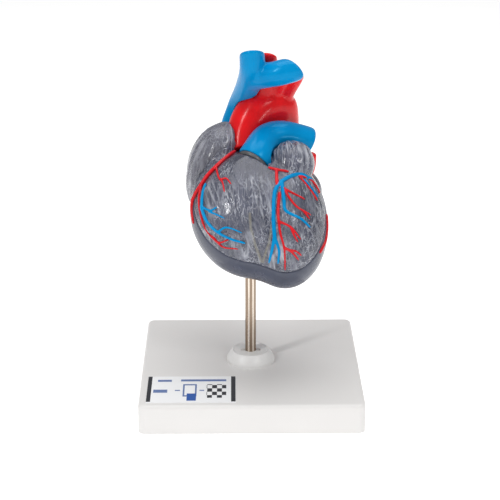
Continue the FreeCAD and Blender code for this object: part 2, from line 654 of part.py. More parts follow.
# ---------------------------------------------------------------- ventricle walls
conus_block = cut("conus_block", conus_outer, over_ring)
ventricle_block = fuse("ventricle_block", right_outer, left_outer, conus_block)
right_hollow = fuse("right_hollow", right_inner, conus_inner)
solid_inside = fuse("solid_inside", left_outer, outflow_wall, boss)
right_cavity = cut("right_cavity", right_hollow, solid_inside)
left_cavity = cut("left_cavity", left_inner, boss)
behind_parting = half_space("behind_parting", PARTING, False)
before_parting = half_space("before_parting", PARTING - size("parting_gap"), True)
doc.recompute()
rear_block = common("rear_block", ventricle_block, behind_parting)
front_chambers = fuse("front_chambers", right_front, left_front, conus_front)
front_outline = fuse("front_outline", front_chambers, lobe_front)
lobe_hollow = cut("lobe_hollow", lobe_inner, front_chambers)
doc.recompute()
front_path = swept_forward("front_path", front_outline, PARTING)
atrium_tip = common("atrium_tip", right_atrium_front, front_path)  # what the front wall takes of the atrium
front_tipped = fuse("front_tipped", front_chambers, atrium_tip)
front_notched = cut("front_notched", front_tipped, over_front_ring)
front_block_whole = fuse("front_block_whole", front_notched, lobe_front)
front_block = common("front_block", front_block_whole, before_parting)

# The front wall comes off along its pull, so nothing that stays may stand in front of its outline.
wall_path = swept_forward("wall_path", ventricle_block, PARTING)
conus_path = swept_forward("conus_path", conus_block, CONUS["centre"][1] * SCALE)
lobe_path = swept_forward("lobe_path", lobe_outer, LOBE["centre"][1] * SCALE)
doc.recompute()

# ---------------------------------------------------------------- locating pins of the front wall
PIN_EDGE = 1.25  # plastic between a pin's hole and the outside
PIN_INSET = size("pin_diameter") / 2 + size("pin_clearance") + PIN_EDGE


def pin_place(spec, way):
    """A place in the parting plane, a pin's inset inside the ventricle's outside."""
    middle = heart_point(spec)
    rim = leave(spec, 0.0, Vector(middle.x, PARTING, middle.z), way)
    return rim - way * PIN_INSET


PIN_PLACES = [pin_place(RIGHT, Vector(-1, 0, 0)), pin_place(RIGHT, Vector(-0.42, 0, -0.91).normalize()),
              pin_place(LEFT, Vector(1, 0, -0.3).normalize())]


def pins(name, radius, behind, ahead):
    """Round bars across the parting plane at the three places."""
    bars = [rod_between(placed(Vector(p.x, PARTING + behind, p.z)), placed(Vector(p.x, PARTING - ahead, p.z)),
                        radius) for p in PIN_PLACES]
    return feature(name, Part.makeCompound(bars))


PIN_BEHIND = size("pin_length") - size("pin_reach")
PIN_END_GAP = 0.2
locating_pins = pins("locating_pins", size("pin_diameter") / 2, PIN_BEHIND, size("pin_reach"))
pin_sockets = pins("pin_sockets", size("pin_diameter") / 2, PIN_BEHIND, 0)
pin_holes = pins("pin_holes", size("pin_diameter") / 2 + size("pin_clearance"), 0,
                 size("pin_reach") + PIN_END_GAP)

# ---------------------------------------------------------------- ventricle shells
rear_wall_body = carve("rear_wall_body", rear_block, right_cavity, left_cavity, bush_hole, outflow_way,
                       tricuspid_way, mitral_way, pin_sockets)
front_heart_wall = carve("front_heart_wall", front_block, right_cavity, left_cavity, lobe_hollow, pin_holes)
doc.recompute()
rear_heart_wall = largest("rear_heart_wall", rear_wall_body)

# ---------------------------------------------------------------- atria
notched_path = cut("notched_path", wall_path, over_ring)
forward_paths = fuse("forward_paths", ventricle_block, notched_path, conus_path, lobe_outer, lobe_path)
right_atrium_body = carve("right_atrium_body", right_atrium_outer, right_atrium_inner, forward_paths,
                          superior_way, *inferior_lumens, arch_outer, trunk_outer)
doc.recompute()
right_atrium = largest("right_atrium", right_atrium_body)
left_atrium = carve("left_atrium", left_atrium_outer, left_atrium_inner, ventricle_block,
                    right_atrium_outer, *left_vein_lumens, *right_vein_lumens)
left_auricle = carve("left_auricle", auricle_outer, auricle_inner, forward_paths, left_atrium_outer,
                     trunk_outer, arch_outer)

# ---------------------------------------------------------------- great vessels
aorta = carve("aorta", arch_outer, forward_paths, *arch_lumens)
pulmonary_trunk = carve("pulmonary_trunk", trunk_outer, forward_paths, *trunk_lumens, arch_outer)
superior_vena_cava = carve("superior_vena_cava", cava_outer, right_atrium_outer, *cava_lumens, arch_outer)
inferior_vena_cava = carve("inferior_vena_cava", inferior_outer, right_atrium_outer, *inferior_lumens,
                           ventricle_block)
left_pulmonary_veins = carve("left_pulmonary_veins", left_veins_outer, left_atrium_outer,
                             *left_vein_lumens, ventricle_block)
right_pulmonary_veins = carve("right_pulmonary_veins", right_veins_outer, left_atrium_outer,
                              *right_vein_lumens)
doc.recompute()

# ---------------------------------------------------------------- valves
FLAP = 0.8  # thickness of the flaps
BAND = 2.0  # height of the band that holds them
SLIT = 0.5  # width of the slits between the flaps
SLIT_FOOT = 1.0  # the slits start this far above the band
INFLOW_DEPTH, INFLOW_TIP = 9 * SCALE, 4 * SCALE  # flaps of the valves between atria and ventricles
ARTERY_DEPTH, ARTERY_TIP = 4 * SCALE, 0.6  # flaps of the valves at the arteries' roots
MITRAL_SET, ARTERY_SET = 3.0, 4.0  # how far along the flow these valves sit
TRUNK_SLACK = 1.0  # radial gap round the pulmonary valve


def flaps(name, centre, way, radius, depth, tip):
    """A band with three flaps that narrow to a tip along the flow."""
    band = Part.makeCylinder(radius, BAND).cut(Part.makeCylinder(radius - FLAP, BAND))
    outside = Part.makeCone(radius, tip + FLAP, depth, Vector(0, 0, BAND))
    inside = Part.makeCone(radius - FLAP, tip, depth, Vector(0, 0, BAND))
    funnel = outside.cut(inside)
    for angle in (90, 210, 330):
        slit = Part.makeBox(radius + FLAP, SLIT, depth, Vector(0, -SLIT / 2, BAND + SLIT_FOOT))
        slit.rotate(Vector(), Z_AXIS, angle)
        funnel = funnel.cut(slit)
    valve = band.fuse(funnel)
    valve.Placement = Placement(placed(centre), Rotation(Z_AXIS, LEANING.multVec(way)))
    return feature(name, valve)


OUTFLOW_WAY = (OUTFLOW_END - OUTFLOW_START).normalize()
OUTFLOW_LENGTH = (OUTFLOW_END - OUTFLOW_START).Length
TRUNK_POINTS = [HEART_FRAME.inverse().multVec(upright(*p)) for p in VESSELS["pulmonary_trunk"][0][:2]]
TRUNK_WAY = (TRUNK_POINTS[1] - TRUNK_POINTS[0]).normalize()
TRUNK_BORE = VESSELS["pulmonary_trunk"][1][0] * SCALE - size("vessel_wall")

AORTIC_PLACE = OUTFLOW_START + OUTFLOW_WAY * OUTFLOW_LENGTH * 0.7  # near the end of the outflow

tricuspid_valve = flaps("tricuspid_valve", TRICUSPID + TRICUSPID_WAY, TRICUSPID_WAY, VALVE, INFLOW_DEPTH,
                        INFLOW_TIP)
mitral_valve = flaps("mitral_valve", MITRAL + MITRAL_WAY * MITRAL_SET, MITRAL_WAY, VALVE, INFLOW_DEPTH,
                     INFLOW_TIP)
aortic_valve = flaps("aortic_valve", AORTIC_PLACE, OUTFLOW_WAY, OUTFLOW, ARTERY_DEPTH, ARTERY_TIP)
pulmonary_valve = flaps("pulmonary_valve", TRUNK_POINTS[0] + TRUNK_WAY * ARTERY_SET, TRUNK_WAY,
                        TRUNK_BORE - TRUNK_SLACK, ARTERY_DEPTH, ARTERY_TIP)

# ---------------------------------------------------------------- papillary muscles
RIGHT_MUSCLES = [((-26, 6, -22), (-19, 4, -7)), ((-12, 10, -34), (-14, 6, -17))]
LEFT_MUSCLES = [((3, 8, -36), (7, 7, -17)), ((22, 8, -34), (16, 9, -15))]
MUSCLE_FOOT, MUSCLE_TIP = 4.5 * SCALE, 1.8 * SCALE  # radii


def muscles(name, pairs, cavity):
    """Cones that rise from a ventricle's inner wall."""
    cones = [rod_between(in_heart(*foot), in_heart(*tip), MUSCLE_FOOT, MUSCLE_TIP) for foot, tip in pairs]
    return common(name, feature(name + "_cones", Part.makeCompound(cones)), cavity)


right_papillary_muscles = muscles("right_papillary_muscles", RIGHT_MUSCLES, right_cavity)
left_papillary_muscles = muscles("left_papillary_muscles", LEFT_MUSCLES, left_cavity)

# ---------------------------------------------------------------- conduction system
FIBRE = size("fibre_radius")
ATRIUM_CENTRE = Vector(*RIGHT_ATRIUM["centre"]) * SCALE


def on_atrium(way):
    """A point on the right atrium's inner wall, from its centre along a direction."""
    return UPRIGHT_FRAME.multVec(leave(RIGHT_ATRIUM, size("atrium_wall"), ATRIUM_CENTRE, way))


def on_septum(wall, depth, height):
    """A point on the septum's side towards -x, at a depth and height of the leaning frame."""
    middle = Vector(LEFT["centre"][0], depth, height) * SCALE
    return placed(leave(LEFT, wall, middle, Vector(-1, 0, 0)))


def fibres(name, paths, cavity):
    """Thin fibres along a wall, trimmed to what stands out into the cavity."""
    lines = [tube(between(path, 3), [FIBRE] * (3 * len(path) - 2)) for path in paths]
    whole = lines[0].multiFuse(lines[1:]) if len(lines) > 1 else lines[0]
    return common(name, feature(name + "_lines", whole), cavity)


SINUS_WAY, NODE_WAY = Vector(4, 10, 15), Vector(14, 10, -6)
SINUS_RADIUS, NODE_RADIUS = 2.2 * SCALE, 2.0 * SCALE
TRACT_WAYS = [Vector(-2, 18, 2), Vector(-14, 14, 2)]
atrium_cavity = cut("atrium_cavity", right_atrium_inner, forward_paths)
sinus_ball = feature("sinus_ball", ball(on_atrium(SINUS_WAY), SINUS_RADIUS))
node_ball = feature("node_ball", ball(on_atrium(NODE_WAY), NODE_RADIUS))
doc.recompute()
sinoatrial_node = common("sinoatrial_node", sinus_ball, atrium_cavity)
atrioventricular_node = common("atrioventricular_node", node_ball, atrium_cavity)
tract_space = carve("tract_space", atrium_cavity, sinus_ball, node_ball)
internodal_tracts = fibres("internodal_tracts",
                           [[on_atrium(SINUS_WAY), on_atrium(SINUS_WAY + way), on_atrium(way),
                             on_atrium(NODE_WAY + way), on_atrium(NODE_WAY)] for way in TRACT_WAYS], tract_space)
BUNDLE_TOP = (8, 20)
right_bundle_branch = fibres("right_bundle_branch",
                             [[on_septum(0.0, y, z) for y, z in path] for path in
                              ([BUNDLE_TOP, (3, 8), (-2, -6), (-5, -18), (-5, -28)],
                               [(-2, -6), (6, -14), (12, -22)])], right_cavity)
left_bundle_branch = fibres("left_bundle_branch",
                            [[on_septum(size("left_wall"), y, z) for y, z in path] for path in
                             ([(5, 16), (2, 6), (-3, -8), (-5, -20)], [(5, 16), (8, 4), (10, -8), (9, -20)])],
                            left_cavity)

# ---------------------------------------------------------------- coronary vessels
TRUNK_R, BRANCH_R = size("artery_radius"), size("branch_radius")
FORWARD, BACKWARD = Vector(0, -1, 0), Vector(0, 1, 0)


def on_surface(x, z, way):
    """A point on the outside of the ventricles at a width and height of the leaning frame."""
    found = [leave(spec, 0.0, Vector(x, 0, z) * SCALE, way) for spec in (RIGHT, LEFT, CONUS)]
    return placed(max((p for p in found if p), key=lambda p: p.dot(way)))


def coronary(name, trunks, branches=(), way=FORWARD, half="front_path"):
    """Raised vessels that follow the ventricles' outside, each given by points (x, z)."""
    tubes = []
    for radius, paths in ((TRUNK_R, trunks), (BRANCH_R, branches)):
        for path in paths:
            flat = between([Vector(x, 0, z) for x, z in path], 3)
            points = [on_surface(p.x, p.z, way) for p in flat]
            tubes.append(tube(points, [radius] * len(points)))
    whole = tubes[0].multiFuse(tubes[1:]) if len(tubes) > 1 else tubes[0]
    return common(name, feature(name + "_tubes", whole), doc.getObject(half))


right_coronary_artery = coronary(
    "right_coronary_artery",
    [[(-14.5, 29.5), (-19, 23.5), (-24, 18), (-28, 14), (-31, 10), (-34, 6.5)]],
    [[(-31.5, 8), (-33, 0.5), (-32, -8), (-28.5, -16.5), (-22.5, -23), (-17, -24)],
     [(-25.5, -20), (-20, -26), (-12, -28.5)],
     [(-23.5, 18), (-22, 10), (-20, 6), (-19, 0)],
     [(-21, 8), (-18, 8), (-15.5, 4)]])
left_anterior_artery = coronary(
    "left_anterior_artery",
    [[(8.5, 13.5), (8.5, 6), (9.5, -2), (9, -16), (10, -23.5), (12, -30.5), (12.5, -37)]],
    [[(4, 13), (8.5, 12.5), (13, 13)],
     [(9.2, -18), (15.5, -20.5), (20.5, -25.5)], [(12, -30), (15.5, -31.5), (19.5, -34)],
     [(9.3, 3), (16.5, -1.5), (23, -4)], [(14, -0.5), (19, -9.5), (26, -12)]])
left_diagonal_arteries = coronary(
    "left_diagonal_arteries", [],
    [[(20.5, 10.5), (25, 11), (28.5, 9)], [(20.5, 10.5), (26.5, 3), (30, -1.5)]])
great_cardiac_vein = coronary(
    "great_cardiac_vein",
    [[(25.5, 14.5), (18, 12), (12.5, 8), (8.5, 3.5), (6.5, -2), (6, -15), (7, -25), (5, -32.5)]],
    [[(6.8, -25), (9.5, -32), (8.5, -36)],
     [(11, 6), (12, -5.5), (13, -12), (21, -15.5), (25.5, -18.5)]])
small_cardiac_vein = coronary(
    "small_cardiac_vein", [],
    [[(-29, 8.5), (-30.5, 3), (-30.8, -5), (-28, -13), (-22.5, -19.5), (-15.5, -24), (-8.5, -26.5)],
     [(-31.3, -3), (-26.5, -8), (-23, -7.5)], [(-22.5, -19.5), (-18, -18.5), (-10, -22)]])
right_marginal_artery = coronary(
    "right_marginal_artery", [[(-35.8, 4.5), (-36.4, -1), (-35.2, -8), (-32.5, -15)]],
    half="behind_parting")
left_marginal_artery = coronary(
    "left_marginal_artery", [[(35.3, -5), (35.3, -12), (34.2, -19.5), (31.3, -26.5)]], half="behind_parting")
posterior_artery = coronary(
    "posterior_artery", [[(3, 6), (3, -2), (3.5, -12), (4, -22), (3, -31)]],
    [[(3, -2), (-6, -5), (-15, -12)]], BACKWARD, "behind_parting")
middle_cardiac_vein = coronary(
    "middle_cardiac_vein", [[(8, 3), (7.5, -6), (7.5, -15), (8, -26)]], [[(7.5, -10), (14, -18), (18, -27)]],
    BACKWARD, "behind_parting")
coronary_sinus = coronary(
    "coronary_sinus", [[(31, 2), (26, 4), (17, 5), (6, 5), (-5, 4)]], [], BACKWARD, "behind_parting")
doc.recompute()

NODES = [
    "base_plate", "base_cover", "cover_screws", "rod_collar", "support_rod", "label", "rod_socket",
    "locating_pins", "rear_heart_wall", "front_heart_wall", "right_atrium", "left_atrium", "left_auricle",
    "aorta", "pulmonary_trunk", "superior_vena_cava", "inferior_vena_cava", "left_pulmonary_veins",
    "right_pulmonary_veins", "tricuspid_valve", "mitral_valve", "aortic_valve", "pulmonary_valve",
    "right_papillary_muscles", "left_papillary_muscles", "sinoatrial_node", "atrioventricular_node",
    "internodal_tracts", "right_bundle_branch", "left_bundle_branch", "right_coronary_artery",
    "left_anterior_artery", "left_diagonal_arteries", "great_cardiac_vein", "small_cardiac_vein",
    "right_marginal_artery", "left_marginal_artery", "posterior_artery", "middle_cardiac_vein",
    "coronary_sinus",
]

os.makedirs("parts", exist_ok=True)
for each in doc.Objects:
    if "Invalid" in each.State or "Error" in each.State:
        raise RuntimeError(f"{each.Name} failed: {each.State}")
for name in NODES:
    node = doc.getObject(name)
    node.Label = name
    shape = node.Shape
    print(name, shape.isValid(), len(shape.Solids), round(shape.Volume))
    if shape.isNull() or not shape.isValid():
        raise RuntimeError(f"{name} has no valid shape")
    shape.exportStep(f"parts/{name}.step")
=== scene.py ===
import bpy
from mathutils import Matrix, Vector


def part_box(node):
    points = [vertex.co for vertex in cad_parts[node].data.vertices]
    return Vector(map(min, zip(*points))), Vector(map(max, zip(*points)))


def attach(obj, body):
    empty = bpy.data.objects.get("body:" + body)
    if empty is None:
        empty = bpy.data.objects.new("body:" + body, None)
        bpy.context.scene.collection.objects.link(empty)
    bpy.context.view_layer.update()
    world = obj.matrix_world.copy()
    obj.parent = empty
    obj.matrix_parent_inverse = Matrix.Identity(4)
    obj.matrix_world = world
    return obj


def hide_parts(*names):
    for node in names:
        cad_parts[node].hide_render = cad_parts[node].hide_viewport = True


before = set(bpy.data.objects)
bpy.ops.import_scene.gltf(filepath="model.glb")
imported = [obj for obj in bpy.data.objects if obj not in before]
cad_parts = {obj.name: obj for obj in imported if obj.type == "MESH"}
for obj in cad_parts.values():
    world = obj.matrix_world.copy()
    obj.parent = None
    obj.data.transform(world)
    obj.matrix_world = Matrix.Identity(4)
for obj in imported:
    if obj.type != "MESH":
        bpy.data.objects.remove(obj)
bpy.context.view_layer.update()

import math

import bpy
import numpy as np
import openvdb
from mathutils import Vector

MM = 0.001

# ------------------------------------------------------------------ the heart's frames, in millimetres
PLATE_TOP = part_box("base_plate")[1].z / MM
HEART_GAP = 51.0  # lowest point of the heart above the plate
LEAN = math.radians(45)
RIGHT = dict(centre=(-5, 0, 0), radii=(32.3, 28.5, 36.5), tilt=18)
LEFT = dict(centre=(11.7, 0, -5), radii=(24.6, 28, 37), tilt=4)
CONUS = dict(centre=(-5, -14, 16), radii=(12.5, 12, 17), tilt=-30)
RIGHT_ATRIUM = dict(centre=(-20.5, 24, 15.8), radii=(19.5, 19, 28.2), tilt=-8)  # upright
LEFT_ATRIUM = dict(centre=(12, 20, 24), radii=(23, 15, 16), tilt=0)
AURICLE = dict(centre=(18, -6, 25), radii=(11, 12, 14), tilt=0)
LOBE = dict(centre=(17.5, -17, 22), radii=(11.5, 9.5, 12.5), tilt=10)  # the auricle's tip, on the front wall
LOBE_SPACE = dict(centre=(17.5, -15, 22), radii=(11.5, 11.5, 12.5), tilt=10)
GROOVE_FILLET = 5.0  # where the ventricles and the conus run into each other
RIGHT_WALL, LEFT_WALL, ATRIUM_WALL, VESSEL_WALL, VEIN_WALL = 4.0, 8.0, 3.0, 2.0, 1.3
PARTING = -10.0  # depth of the parting plane in the leaning frame
PARTING_GAP = 0.1
SEAM = 0.05  # gap between shells that meet
BUSH_RADIUS, BUSH_TOP = 5.05, 104.0  # the hole that the rod socket sits in, in the part's frame
RING_CENTRE, RING_SLANT, RING_REACH = (-3.1, -16, 22.7), math.radians(32), 9.6
BAND_HEIGHT, BAND_REACH = 2.2, (9.5, 10.4)


def reach_down(spec):
    """How far a leaning ellipsoid reaches below the heart's centre."""
    down = np.array([0.0, math.sin(LEAN), -math.cos(LEAN)])
    turn = math.radians(spec["tilt"])
    own = (down[0] * math.cos(turn) + down[2] * math.sin(turn), down[1],
           -down[0] * math.sin(turn) + down[2] * math.cos(turn))
    return np.dot(spec["centre"], down) + math.sqrt(sum((a * r) ** 2 for a, r in zip(own, spec["radii"])))


HEART = np.array([5.0, -4.0, PLATE_TOP + HEART_GAP + max(reach_down(RIGHT), reach_down(LEFT))])


def leaning(p):
    """The leaning frame's coordinates of points given upright, from the heart's centre."""
    x, y, z = p
    return x, y * math.cos(LEAN) - z * math.sin(LEAN), y * math.sin(LEAN) + z * math.cos(LEAN)


def raised(p):
    """The reverse of leaning."""
    x, y, z = p
    return x, y * math.cos(LEAN) + z * math.sin(LEAN), -y * math.sin(LEAN) + z * math.cos(LEAN)


# ------------------------------------------------------------------ fields: negative inside, millimetres
def ellipsoid(p, spec, thinner=0.0):
    """Nearly the distance to an ellipsoid that is tilted about the depth axis."""
    turn = math.radians(spec["tilt"])
    dx, dy, dz = (a - c for a, c in zip(p, spec["centre"]))
    own = dx * math.cos(turn) + dz * math.sin(turn), dy, dz * math.cos(turn) - dx * math.sin(turn)
    radii = [r - thinner for r in spec["radii"]]
    near = np.sqrt(sum((a / r) ** 2 for a, r in zip(own, radii)))
    slope = np.sqrt(sum((a / r ** 2) ** 2 for a, r in zip(own, radii)))
    return near * (near - 1) / np.maximum(slope, 1e-4)


def blended(a, b, radius):
    """The union of two fields with a fillet where they meet."""
    near = np.maximum(radius - np.abs(a - b), 0) / radius
    return np.minimum(a, b) - near ** 2 * radius / 4


def rounded_cut(a, b, radius):
    """The part of a that is also inside b, with a rounded edge."""
    return -blended(-a, -b, radius)


def ventricles(q):
    """The outside of both ventricles and the conus, in the leaning frame."""
    both = blended(ellipsoid(q, RIGHT), ellipsoid(q, LEFT), GROOVE_FILLET)
    return blended(both, ellipsoid(q, CONUS), GROOVE_FILLET)


def about_ring(q):
    """Distances across and above the slanted pulmonary ring."""
    x, z = q[0] - RING_CENTRE[0], q[2] - RING_CENTRE[2]
    return (x * math.cos(RING_SLANT) - z * math.sin(RING_SLANT),
            x * math.sin(RING_SLANT) + z * math.cos(RING_SLANT))


def over_ring(q, lower=0.0, wider=0.0):
    """The slanted box over the pulmonary ring, which may start lower and reach wider on the left."""
    across, up = about_ring(q)
    return np.maximum(np.maximum(across, -across - wider) - RING_REACH, -lower - up)


def ring_band(q):
    """The flat band round the top of the conus, under the pulmonary trunk."""
    across, up = about_ring(q)
    deep = q[1] - RING_CENTRE[1]
    disc = (np.hypot(across / BAND_REACH[0], deep / BAND_REACH[1]) - 1) * BAND_REACH[1]
    return rounded_cut(disc, np.abs(up + BAND_HEIGHT / 2 + SEAM) - BAND_HEIGHT / 2, 0.6)


BEVEL_POINT, BEVEL_WAY, BEVEL_ROUNDING = (-13.7, 15), (0.88, -0.47), 4.0  # of the right atrium


def atrium(p, thinner=0.0):
    """The right atrium, upright, bevelled on the side where the aorta shows beside it."""
    bevel = sum((a - c) * w for a, c, w in zip(p, BEVEL_POINT, BEVEL_WAY)) + thinner
    return rounded_cut(ellipsoid(p, RIGHT_ATRIUM, thinner), bevel, BEVEL_ROUNDING)


def chambers(q):
    """The air inside the ventricles."""
    right = blended(ellipsoid(q, RIGHT, RIGHT_WALL), ellipsoid(q, CONUS, RIGHT_WALL), 4.0)
    right = rounded_cut(right, -ellipsoid(q, LEFT), 2.0)
    return np.minimum(right, ellipsoid(q, LEFT, LEFT_WALL))


def front_path(q):
    """The ventricles and everything that the front wall sweeps when it is pulled off."""
    x, y, z = q
    wall = ventricles((x, np.maximum(y, PARTING), z))
    conus = ellipsoid((x, np.maximum(y, CONUS["centre"][1]), z), CONUS)
    lobe = ellipsoid((x, np.maximum(y, LOBE["centre"][1]), z), LOBE)
    return np.minimum(np.maximum(np.minimum(wall, conus), -over_ring(q)), lobe)


def smooth_path(points, steps):
    """More points on a smooth curve through the given ones; rows may hold a radius too."""
    points = np.array(points, float)
    ends = np.vstack([2 * points[0] - points[1], points, 2 * points[-1] - points[-2]])
    found = []
    for a, b, c, d in zip(ends, ends[1:], ends[2:], ends[3:]):
        for t in np.arange(steps) / steps:
            found.append(0.5 * (2 * b + (c - a) * t + (2 * a - 5 * b + 4 * c - d) * t ** 2
                                + (3 * b - a - 3 * c + d) * t ** 3))
    return np.array(found + [points[-1]])


FAR = 9.0  # a distance that counts as empty space


class Block:
    """A box of space cut into voxels, with a field that shapes are added to."""

    def __init__(self, low, high, step):
        self.low, self.step = np.array(low, float), step
        axes = [np.arange(a, b + step, step, dtype=np.float32) for a, b in zip(low, high)]
        self.p = np.meshgrid(*axes, indexing="ij", sparse=True)
        self.shape = tuple(len(a) for a in axes)

    def empty(self):
        """A field with nothing in it."""
        return np.full(self.shape, FAR, np.float32)

    def add_tube(self, field, points, fillet=0.0):
        """Joins a tube, given by rows (x, y, z, radius), to a field."""
        for a, b in zip(points, points[1:]):
            reach = max(a[3], b[3]) + fillet + 2 * self.step
            cut, near = [], []
            for axis in range(3):
                first = int((min(a[axis], b[axis]) - reach - self.low[axis]) / self.step)
                last = int((max(a[axis], b[axis]) + reach - self.low[axis]) / self.step) + 2
                part = slice(max(first, 0), max(last, 0))
                cut.append(part)
                index = [slice(None)] * 3
                index[axis] = part
                near.append(self.p[axis][tuple(index)])
            way = b[:3] - a[:3]
            from_a = [n - c for n, c in zip(near, a[:3])]
            t = np.clip(sum(f * w for f, w in zip(from_a, way)) / (way @ way), 0, 1)
            gap = np.sqrt(sum((f - w * t) ** 2 for f, w in zip(from_a, way)))
            tube = gap - (a[3] + (b[3] - a[3]) * t)
            here = field[tuple(cut)]
            if here.size:
                field[tuple(cut)] = blended(here, tube, fillet) if fillet else np.minimum(here, tube)


def sides_of(faces):
    """The sides of quads, as pairs of vertices."""
    return np.vstack([faces[:, [i, (i + 1) % 4]] for i in range(4)])


SMALLEST_ISLAND = 200  # vertices; smaller bits of a cut field are dropped
FIELD_LIMIT = 3.0  # fields are cut off at this distance before they are meshed


def largest_islands(count, faces, smallest):
    """Which vertices belong to a connected island of at least that many vertices."""
    label = np.arange(count)
    sides = sides_of(faces)
    while True:
        lower = label.copy()
        np.minimum.at(lower, sides[:, 0], label[sides[:, 1]])
        np.minimum.at(lower, sides[:, 1], label[sides[:, 0]])
        lower = lower[lower]
        if np.array_equal(lower, label):
            return np.bincount(label, minlength=count)[label] >= smallest
        label = lower


def relaxed(points, faces, rounds):
    """Smooths the voxel steps out of a mesh."""
    sides = sides_of(faces)
    many = np.maximum(np.bincount(sides[:, 0], minlength=len(points)), 1)[:, None]
    for _ in range(rounds):
        middle = np.stack([np.bincount(sides[:, 0], weights=points[sides[:, 1], k], minlength=len(points))
                           for k in range(3)], axis=1) / many
        points = points + 0.5 * (middle - points)
    return points


def mesh_of_field(block, field, rounds):
    """Points in millimetres and quads, facing outwards, of a field's surface."""
    grid = openvdb.FloatGrid(background=FIELD_LIMIT)
    grid.copyFromArray(np.clip(field, -FIELD_LIMIT, FIELD_LIMIT).astype(np.float32))
    points, quads = grid.convertToQuads()
    quads = quads.astype(np.int64)
    keep = largest_islands(len(points), quads, SMALLEST_ISLAND)
    quads = quads[keep[quads[:, 0]]]
    used, quads = np.unique(quads, return_inverse=True)
    quads = quads.reshape(-1, 4)
    points = relaxed(points[used] * block.step + block.low, quads, rounds)
    corners = points[quads]
    inside_out = np.einsum("ij,ij->", corners[:, 0] - points.mean(0),
                           np.cross(corners[:, 1] - corners[:, 0], corners[:, 2] - corners[:, 0])) < 0
    return points, quads[:, ::-1] if inside_out else quads


def hold(mesh, name, values):
    """Stores one number for each vertex, for a material to read."""
    mesh.attributes.new(name, "FLOAT", "POINT").data.foreach_set("value", values.astype(np.float32))


def piece_from_field(name, block, field, body, replaced, material, relief=None, rounds=2, marks=None):
    """Turns a field into a mesh piece; relief gives a lift in mm, and marks a share, for each vertex."""
    points, quads = mesh_of_field(block, field, rounds)
    mesh = bpy.data.meshes.new(name)
    mesh.from_pydata(points.tolist(), [], quads.tolist())
    mesh.update()
    if relief:
        normals = np.zeros(len(points) * 3, np.float32)
        mesh.vertices.foreach_get("normal", normals)
        lift = relief(points)
        points = points + normals.reshape(-1, 3) * lift[:, None]
        hold(mesh, "lift", lift)
    if marks:
        hold(mesh, "marks", marks(points))
    world = (points + HEART) * MM
    mesh.vertices.foreach_set("co", world.astype(np.float32).ravel())
    mesh.shade_smooth()
    mesh.update()
    piece = bpy.data.objects.new(name, mesh)
    bpy.context.scene.collection.objects.link(piece)
    mesh.materials.append(material)
    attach(piece, body)
    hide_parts(*replaced)


# ------------------------------------------------------------------ relief
def lattice(seed, i, j, k):
    """A repeatable number from 0 to 1 for each lattice point."""
    mixed = (i * 73856093) ^ (j * 19349663) ^ (k * 83492791) ^ (seed * 2654435761)
    mixed = (mixed ^ (mixed >> 13)) * 1274126177 & 0xFFFFFFFF
    return ((mixed ^ (mixed >> 16)) & 0xFFFF) / 65535.0


def noise(p, size, seed=0):
    """Smooth noise from -1 to 1 at points (n, 3); size is one length or three."""
    q = p / np.array(size, float)
    cell = np.floor(q).astype(np.int64)
    t = q - cell
    t = t * t * (3 - 2 * t)
    total = np.zeros(len(p))
    for di in (0, 1):
        for dj in (0, 1):
            for dk in (0, 1):
                weight = (t[:, 0] if di else 1 - t[:, 0]) * (t[:, 1] if dj else 1 - t[:, 1]) \
                    * (t[:, 2] if dk else 1 - t[:, 2])
                total += weight * lattice(seed, cell[:, 0] + di, cell[:, 1] + dj, cell[:, 2] + dk)
    return 2 * total - 1


def creases(value, width):
    """Thin crests along the lines where a noise crosses zero."""
    return np.clip(1 - np.abs(value) / width, 0, 1)


def meridians(p, spec, spacing, seed):
    """Thin crests that run over an ellipsoid from its top to its foot, p in the ellipsoid's own frame."""
    turn = math.radians(spec["tilt"])
    x, y, z = (p - np.array(spec["centre"], float)).T
    x, z = x * math.cos(turn) + z * math.sin(turn), z * math.cos(turn) - x * math.sin(turn)
    round_it = np.arctan2(x, -y) * spec["radii"][0]
    lines = np.stack([round_it, np.zeros(len(p)), z], axis=1)
    return creases(noise(lines, (spacing, 1.0, 14.0), seed), 0.35)


# ------------------------------------------------------------------ materials
NOISE_LOW, NOISE_HIGH = 0.3, 0.7  # most of a noise node's values lie between these


